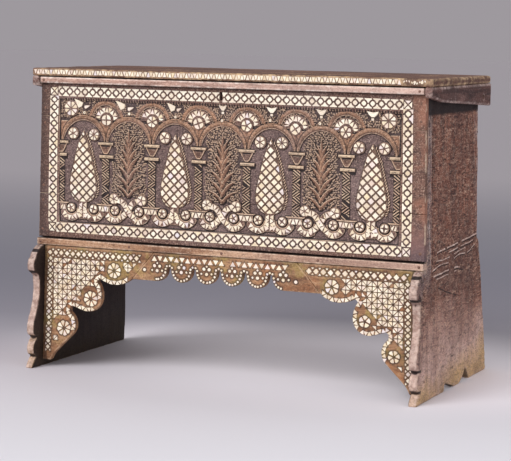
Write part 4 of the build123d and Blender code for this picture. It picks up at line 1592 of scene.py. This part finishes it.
def foliage():
    """Close-set curls and berries beside and over the palms, and over the arches."""
    leaves = Inlay(112, surface)
    rng = leaves.rng
    for j in range(46):
        for i in range(148):
            x = FIELD["left"] + 6 + 7.7 * (i + 0.5 * (j % 2)) + rng.uniform(-2.2, 2.2)
            z = 562 + 6.5 * j + rng.uniform(-1.9, 1.9)
            lean = leafy_place(x, z) if x < FIELD["right"] - 5 else None
            if lean is None:
                continue
            hue = rng.choice((0.0, 0.1, 0.3, 0.5, 0.8))
            if rng.random() < 0.2:
                leaves.chip(arc(x, z, 2.5, 0, 360, 6)[:-1], proud=3.6, bevel=1.2, hue=hue, lost=0)
                continue
            outline = curl_outline(x, z, rng.uniform(6.5, 11.0), rng.uniform(3.2, 4.6),
                                   lean + rng.uniform(-0.9, 0.9), rng.uniform(-2.0, 2.0))
            leaves.chip(outline, proud=rng.uniform(2.2, 4.4), bevel=1.1, hue=hue, lost=0)
    leaves.build_wood("carved_foliage", (0.36, 0.82))


def wing_inlay():
    """The larger cut leaves of shell that fill the corners over the lower arches."""
    inlay = Inlay(105, surface)
    for k, ((ax, az), (bx, bz), wide) in enumerate(WINGS):
        dx, dz = bx - ax, bz - az
        length = math.hypot(dx, dz)
        nx, nz = -dz / length * wide / 2, dx / length * wide / 2
        leaf = [(ax, az), (ax + 0.45 * dx + 0.62 * nx, az + 0.45 * dz + 0.62 * nz),
                (ax + 0.85 * dx + nx, az + 0.85 * dz + nz), (bx, bz),
                (ax + 0.85 * dx - nx, az + 0.85 * dz - nz),
                (ax + 0.45 * dx - 0.62 * nx, az + 0.45 * dz - 0.62 * nz)]
        inlay.chip(leaf, proud=4.2, bevel=1.8, lost=0.0, hue=0.6 if k % 2 == 0 else 0.9, thick=4.0)
    for cx, half in GOBLETS:
        goblet = [(cx - half, 860), (cx - 0.72 * half, 850), (cx - 0.26 * half, 842),
                  (cx + 0.26 * half, 842), (cx + 0.72 * half, 850), (cx + half, 860),
                  (cx, 856.5)]
        inlay.chip(goblet, proud=4.0, bevel=1.2, lost=0.0, hue=0.7, thick=4.0)
        foot = [(cx - 4.4, 832), (cx + 4.4, 832), (cx + 4.4, 839.5), (cx - 4.4, 839.5)]
        inlay.chip(foot, proud=4.0, bevel=1.0, lost=0.0, hue=0.7, thick=4.0)
    inlay.build("shell_leaves")


def face_outline(node, y):
    """The outline of a node's flat front face, by its longest closed edge."""
    work = bmesh.new()
    work.from_mesh(nodes[node].data)
    bmesh.ops.remove_doubles(work, verts=work.verts, dist=1e-6)
    work.normal_update()
    plane = y * MM + FACE_Y
    ahead = {}
    for edge in work.edges:
        if any(abs(v.co.y - plane) > 1e-5 for v in edge.verts):
            continue
        fronts = [f for f in edge.link_faces if f.normal.y < -0.99]
        if len(fronts) != 1 or len(edge.link_faces) != 2:
            continue
        for a, b in zip(edge.verts, reversed(edge.verts)):
            ahead.setdefault(a.index, []).append(b.index)
    places = {v.index: v.co.copy() for v in work.verts}
    work.free()
    loops = []
    left = set(ahead)
    while left:
        start = min(left)
        loop = [start]
        left.discard(start)
        while True:
            onward = [i for i in ahead[loop[-1]] if i in left]
            if not onward:
                break
            loop.append(onward[0])
            left.discard(onward[0])
        loops.append(loop)
    loop = max(loops, key=len)
    return leftward([(places[i].x / MM, places[i].z / MM) for i in loop])


APRON_ROSETTES = {
    -1: ((-373, 326, 23.5, 8), (-456, 230, 24.5, 8), (-553, 129, 24.5, 8)),
    1: ((363, 327, 22.5, 7), (470, 231, 18.5, 5), (565, 132, 19.5, 6)),
}


def union_cell(inlay, cx, cz, half, allowed):
    """Eight small triangles about a point, parted by an upright and a slanting cross."""
    rim = []
    for k in range(9):
        a = math.radians(45 * k)
        far = half / max(abs(math.cos(a)), abs(math.sin(a)))
        rim.append((cx + far * math.cos(a), cz + far * math.sin(a)))
    for here, after in zip(rim, rim[1:]):
        small = [tuple(q) for q in narrowed([(cx, cz), here, after], 1.3)]
        middle = (sum(q[0] for q in small) / 3, sum(q[1] for q in small) / 3)
        if allowed(*middle):
            inlay.chip(small, lost=0.03)


def lattice_unit(inlay, cx, cz, pitch, half, upright=False):
    """A diamond with a small triangle above and below the place beside it."""
    size = min(abs(pitch) / 2, half) - 2.2
    inlay.chip(turned([(size, 0), (0, size), (-size, 0), (0, -size)], cx, cz, upright))
    for side in (-1, 1):
        tri = [(pitch / 2 - 4.6, half * side), (pitch / 2 + 4.6, half * side),
               (pitch / 2, (half - 6.2) * side)]
        inlay.chip(turned(tri, cx, cz, upright), bevel=0.5)


def stain_about(node, inlay):
    """Wax and dirt on the wood between and close about the pieces of shell."""
    mesh = bpy.data.objects[node + "_worn"].data
    corners = np.concatenate(inlay.points)
    tree = KDTree(len(corners))
    for index, corner in enumerate(place(corners).tolist()):
        tree.insert(corner, index)
    tree.balance()
    co = vertex_array(mesh)
    away = np.array([tree.find(spot)[2] for spot in co.tolist()]) / MM
    from_end = np.abs(natural(co)[:, 0]) - 612
    deepen(mesh, "hollow", np.clip(1.05 - away / 7.0, 0, 0.72), np.clip(from_end / 8, 0, 0.6))


APRON_FACE = -6.0
CELL = 33.5


def flat_inlay(seed, face):
    """An inlay in a flat upright face that does not droop to one side."""
    return Inlay(seed, lambda x, z: np.full(np.shape(x), face), droop=0.0)


def depth_in(outline, x, z):
    """How far one point lies inside a closed outline."""
    return float(polygon_depth(np.array([x]), np.array([z]), outline)[0])


def bracket_inlay(side, name):
    """A bracket's lattice bands above and outside, its field of crosses, its rosettes."""
    node = "apron_bracket_left" if side < 0 else "apron_bracket_right"
    inlay = flat_inlay(106 + side, APRON_FACE)
    outline = face_outline(node, APRON_FACE)
    rosettes = APRON_ROSETTES[side]

    def outer_x(z):
        return side * (602.5 + 0.031 * (360 - z))

    first, pitch, count = (605, 20.7, 16) if side < 0 else (590, 23.2, 15)
    for k in range(count):
        x = side * first - side * pitch * k
        if depth_in(outline, x, 370) > 9:
            lattice_unit(inlay, x, 370.5, pitch, 11.5)
    for k in range(16):
        z = 352 - 19.2 * k
        if depth_in(outline, outer_x(z), z) > 9:
            lattice_unit(inlay, outer_x(z), z, -19.2, 9.5, upright=True)

    def allowed(x, z):
        if z > 355 or abs(x) > abs(outer_x(z)) - 12 or depth_in(outline, x, z) < 21:
            return False
        return all(math.hypot(x - rx, z - rz) > rr + 17 for rx, rz, rr, _ in rosettes)

    for i in range(12):
        for j in range(10):
            x = side * (abs(outer_x(300)) - 12 - CELL / 2 - CELL * i)
            union_cell(inlay, x, 355 - CELL / 2 - CELL * j, CELL / 2, allowed)
    for rx, rz, rr, petals in rosettes:
        inlay.rosette(rx, rz, rr, petals, turn=11, gap=2.0)
    edge_rows(inlay, outline, rosettes)
    inlay.build(name)
    stain_about(node, inlay)


def edge_rows(inlay, outline, rosettes):
    """Triangles that follow the scalloped edge, just inside it."""
    run = []
    for x, z in [*inset(outline, 7.4).tolist(), (0.0, 0.0)]:
        inner = 325 < abs(x) < 594 and 62 < z < 352
        if inner and all(math.hypot(x - rx, z - rz) >= rr + 6 for rx, rz, rr, _ in rosettes):
            run.append((x, z))
            continue
        if len(run) > 1:
            inlay.row(spaced(run), 6.0, 11.5, share=0.64)
        run = []


def spaced(points, least=2.0):
    """The same line without points too near the one before."""
    out = [points[0]]
    for q in points[1:]:
        if math.hypot(q[0] - out[-1][0], q[1] - out[-1][1]) >= least:
            out.append(q)
    return out if len(out) > 1 else points


LOBES = (-222, -138, -52, 35, 120, 205)


def strip_inlay():
    """The hanging strip: a row of triangles, and dots in and round each lobe."""
    inlay = flat_inlay(109, APRON_FACE)
    outline = face_outline("apron_centre_strip", APRON_FACE)
    for k in range(24):
        x = -232 + 19.2 * k
        up = 1 if k % 2 == 0 else -1
        inlay.chip([(x - 9.2, 374.5 - 7.6 * up), (x + 9.2, 374.5 - 7.6 * up), (x, 374.5 + 7.8 * up)])
    dots = [(-266, 337, 5.6), (246, 334, 5.6)]
    for cx in LOBES:
        dots += [(cx - 9, 352, 5.4), (cx + 9, 352, 5.4), (cx, 337, 5.6)]
        dots += [(cx - 17, 338, 3.8), (cx + 17, 338, 3.8), (cx, 361, 3.6)]
    low_edge = [(x, z) for x, z in spaced(inset(outline, 6.0).tolist(), 0.5)
                if -258 < x < 236 and z < 356]
    dots += [(x, z, 3.8) for x, z in spaced(low_edge, 9.5)]
    for x, z, radius in dots:
        if depth_in(outline, x, z) > radius * 0.9:
            inlay.disc(x, z, radius, sides=9)
    inlay.build("shell_strip")
    stain_about("apron_centre_strip", inlay)


def lid_inlay():
    """Small drops and triangles along the lid's front edge."""
    inlay = flat_inlay(110, extent("lid_board_1")[0][1])
    for k in range(132):
        x = -654 + 9.3 * k
        up = 1 if k % 2 else -1
        inlay.chip([(x - 5.6, 946.5 - 7.0 * up), (x + 5.6, 946.5 - 7.0 * up),
                    (x + 1.3, 946.5 + 6.6 * up), (x - 1.3, 946.5 + 6.6 * up)], bevel=0.6)
    wave = [(577 + 4 * k, 946.5 + 4.2 * math.sin(0.52 * k)) for k in range(18)]
    for (ax, az), (bx, bz) in zip(wave[::2], wave[1::2]):
        inlay.chip([(ax, az - 2.6), (bx, bz - 2.6), (bx, bz + 2.6), (ax, az + 2.6)], bevel=0.4)
    for x in (612, 634):
        inlay.disc(x, 947, 4.6, lost=0.0)
    inlay.build("shell_lid_edge", "lid")


border()
cypress_inlay()
rosette_inlay()
scroll_inlay()
shaft_hatching()
foliage()
wing_inlay()
bracket_inlay(-1, "shell_bracket_left")
bracket_inlay(1, "shell_bracket_right")
strip_inlay()
lid_inlay()


# ---------------------------------------------------------------- scores on the end boards

SCORES = (
    # a run of places back and up on the outer face, half its width, whether it is a cut
    (((118, 436), (250, 443), (400, 450), (520, 457)), 2.3, False),
    (((118, 430), (250, 437), (400, 444), (520, 451)), 2.0, True),
    (((230, 426), (340, 432), (480, 439)), 1.9, False),
    (((230, 421), (340, 427), (480, 434)), 1.7, True),
    (((60, 366), (180, 371), (300, 375), (385, 362)), 2.4, False),
    (((60, 360), (180, 365), (300, 369), (385, 356)), 2.0, True),
    (((90, 354), (200, 359), (310, 362)), 1.8, False),
    (((70, 384), (150, 399), (240, 392), (330, 412), (420, 404), (500, 424)), 1.7, False),
    (((70, 379), (150, 394), (240, 387), (330, 407), (420, 399), (500, 419)), 1.5, True),
    (((110, 412), (210, 407), (300, 418), (400, 424)), 1.6, False),
    (((90, 402), (180, 412), (270, 402), (370, 420)), 1.4, True),
    (((40, 345), (110, 334), (180, 315), (230, 302), (340, 280)), 1.8, True),
    (((72, 404), (70, 540), (73, 700), (70, 850)), 1.9, True),
)


def scores(node, side, name):
    """Thin scored lines, painted dark as shade in them, and raised splinters across an end board's
    outer face.
    """
    worn = bpy.data.objects[node + "_worn"].data
    tree = BVHTree.FromPolygons([tuple(v.co) for v in worn.vertices],
                                [tuple(p.vertices) for p in worn.polygons])

    def on_face(y, z):
        start = place([(side * 760.0, y, z)])[0]
        hit = tree.ray_cast(Vector(start), Vector((-side, 0, 0)))[0]
        return None if hit is None else natural([hit])[0]

    for cut, kind, material, lift in ((False, "_splinters", "rail", 1.0),
                                      (True, "_cuts", "end", 0.35)):
        runs = [(run, half) for run, half, is_cut in SCORES if is_cut == cut]
        mesh = ribbon_mesh(name + kind, side, on_face, runs, lift)
        # the cuts are painted dark as shade in them; the splinters are rubbed pale
        for mark, value in (("hollow", 1.0 * cut), ("edge", 0.8 * (not cut)), ("brow", 0.0)):
            set_attribute(mesh, mark, np.full(len(mesh.vertices), value))
        new_object(name + kind, mesh, MATERIALS[material], "case", "walnut_case", smooth=False)


def ribbon_mesh(name, side, on_face, runs, lift):
    """Ragged narrow ribbons laid along a board's outer face, as one mesh."""
    points, quads = [], []
    for run, half in runs:
        line = smooth_line(run, 2)
        steps = int(math.dist(line[0], line[-1]) / 5)
        lengths = lengths_along(line)
        start = None
        for k in range(steps + 1):
            y, z, uy, uz = along_line(line, lengths, lengths[-1] * k / steps)
            ragged = half * (0.75 + 0.5 * noise([(y, 0, z)], (9, 9, 9), 95)[0])
            wander = 0.9 * noise([(y, 0, z)], (40, 40, 40), 96)[0]
            rims = [on_face(y - uz * (wander + t), z + uy * (wander + t))
                    for t in (-ragged, ragged)]
            healed = noise([(y, 0, z)], (34, 34, 34), 97)[0] < -0.5
            if rims[0] is None or rims[1] is None or healed:
                start = None
                continue
            out = side * lift
            ring = [rims[0] - (side * 1.0, 0, 0), rims[0] + (out, 0, 0),
                    rims[1] + (out, 0, 0), rims[1] - (side * 1.0, 0, 0)]
            here = len(points)
            points += [tuple(q) for q in ring]
            if start is not None:
                for j in range(3):
                    quad = (start + j, start + j + 1, here + j + 1, here + j)
                    quads.append(quad if side > 0 else quad[::-1])
            start = here
    return built_mesh(name, points, quads)


scores("end_board_right", 1, "end_scores_right")
scores("end_board_left", -1, "end_scores_left")


# ---------------------------------------------------------------- floor, light, camera

VIEW_YAW = 0.40988408


def floor():
    """A sweep of studio floor: its colour grades from pale in front to grey behind as painted falloff
    of light, and a painted pool of light about the chest lightens its shadow.
    """
    reach = 60.0
    mesh = bpy.data.meshes.new("studio_floor")
    corners = [(-reach, -reach, 0), (reach, -reach, 0), (reach, reach, 0), (-reach, reach, 0)]
    mesh.from_pydata(corners, [], [(0, 1, 2, 3)])
    s = Shader("studio_floor_paint")
    at = s.object_place()
    spun = s.add("ShaderNodeMapping", {"Vector": at, "Rotation": (0, 0, -VIEW_YAW)}).outputs["Vector"]
    # painted falloff of light: pale in front, darkest in a band behind the chest, greyer far off
    colour = s.ramp(s.range(s.along(spun, "Y"), -2.0, 8.0),
                    (0.08, (220, 218, 224)), (0.20, (194, 189, 196)), (0.31, (138, 135, 144)),
                    (0.55, (124, 122, 130)), (1.0, (154, 149, 154)), curve="CARDINAL")
    middle = s.add("ShaderNodeVectorMath", {0: at, 1: (0.20, 0.25, 0.0)}, operation="SUBTRACT")
    flat = s.stretch(middle.outputs["Vector"], (0.85, 1.25, 0.0))
    away = s.add("ShaderNodeVectorMath", {0: flat}, operation="LENGTH").outputs["Value"]
    # a painted pool of light about and behind the chest, which lightens its shadow
    painted_light_pool = s.range(away, 0.3, 1.15, 1.0, 0.0, curve="SMOOTHSTEP")
    mesh.materials.append(s.finish(s.mix(painted_light_pool, colour, (248, 242, 248)), 0.85, 0.1))
    sheet = bpy.data.objects.new("studio_floor", mesh)
    bpy.context.scene.collection.objects.link(sheet)


def world():
    """Even air that lights the chest, and a grey backdrop for the camera and for gloss."""
    s = Shader("studio_air", "worlds")
    light = s.add("ShaderNodeBackground", {"Color": (0.53, 0.52, 0.53, 1)})
    seen = s.add("ShaderNodeBackground", {"Color": srgb(158, 153, 158)})
    path = s.add("ShaderNodeLightPath").outputs
    sees = s.math("ADD", path["Is Glossy Ray"], path["Is Transmission Ray"], use_clamp=True)
    sees = s.math("ADD", path["Is Camera Ray"], sees, use_clamp=True)
    choice = s.add("ShaderNodeMixShader", {"Fac": sees, 1: light.outputs["Background"],
                                           2: seen.outputs["Background"]})
    s.add("ShaderNodeOutputWorld", {"Surface": choice.outputs["Shader"]})
    bpy.context.scene.world = s.holder


def sun(name, toward, strength, spread):
    """A sun that shines from the given direction, its spread in degrees."""
    lamp = bpy.data.lights.new(name, "SUN")
    lamp.energy = strength
    lamp.angle = math.radians(spread)
    holder = bpy.data.objects.new(name, lamp)
    holder.rotation_euler = Vector(toward).to_track_quat("Z", "Y").to_euler()
    bpy.context.scene.collection.objects.link(holder)


def camera():
    """The photograph's view: a long lens from the front right, a little above."""
    focal_px = 1865.711
    image_width_px = 511
    yaw = VIEW_YAW
    pitch = 0.10889104
    roll = -0.01747469
    stand = Vector((2.35996, FACE_Y - 5.18343, 1.1))
    forward = Vector((-math.sin(yaw) * math.cos(pitch),
                      math.cos(yaw) * math.cos(pitch), -math.sin(pitch)))
    right = Vector((math.cos(yaw), math.sin(yaw), 0))
    down = forward.cross(right)
    right_rolled = math.cos(roll) * right + math.sin(roll) * down
    down_rolled = -math.sin(roll) * right + math.cos(roll) * down
    data = bpy.data.cameras.new("photo_view")
    data.sensor_width = 36.0
    data.lens = focal_px * data.sensor_width / image_width_px
    data.clip_end = 200.0
    holder = bpy.data.objects.new("photo_view", data)
    axes = Matrix((right_rolled, -down_rolled, -forward)).transposed()
    holder.matrix_world = Matrix.Translation(stand) @ axes.to_4x4()
    bpy.context.scene.collection.objects.link(holder)
    bpy.context.scene.camera = holder


floor()
world()
sun("key_light", (-0.30, -0.72, 0.56), 2.45, 42)
sun("right_fill", (0.80, -0.45, 0.40), 0.5, 60)
camera()

bpy.context.scene.view_settings.view_transform = "Standard"
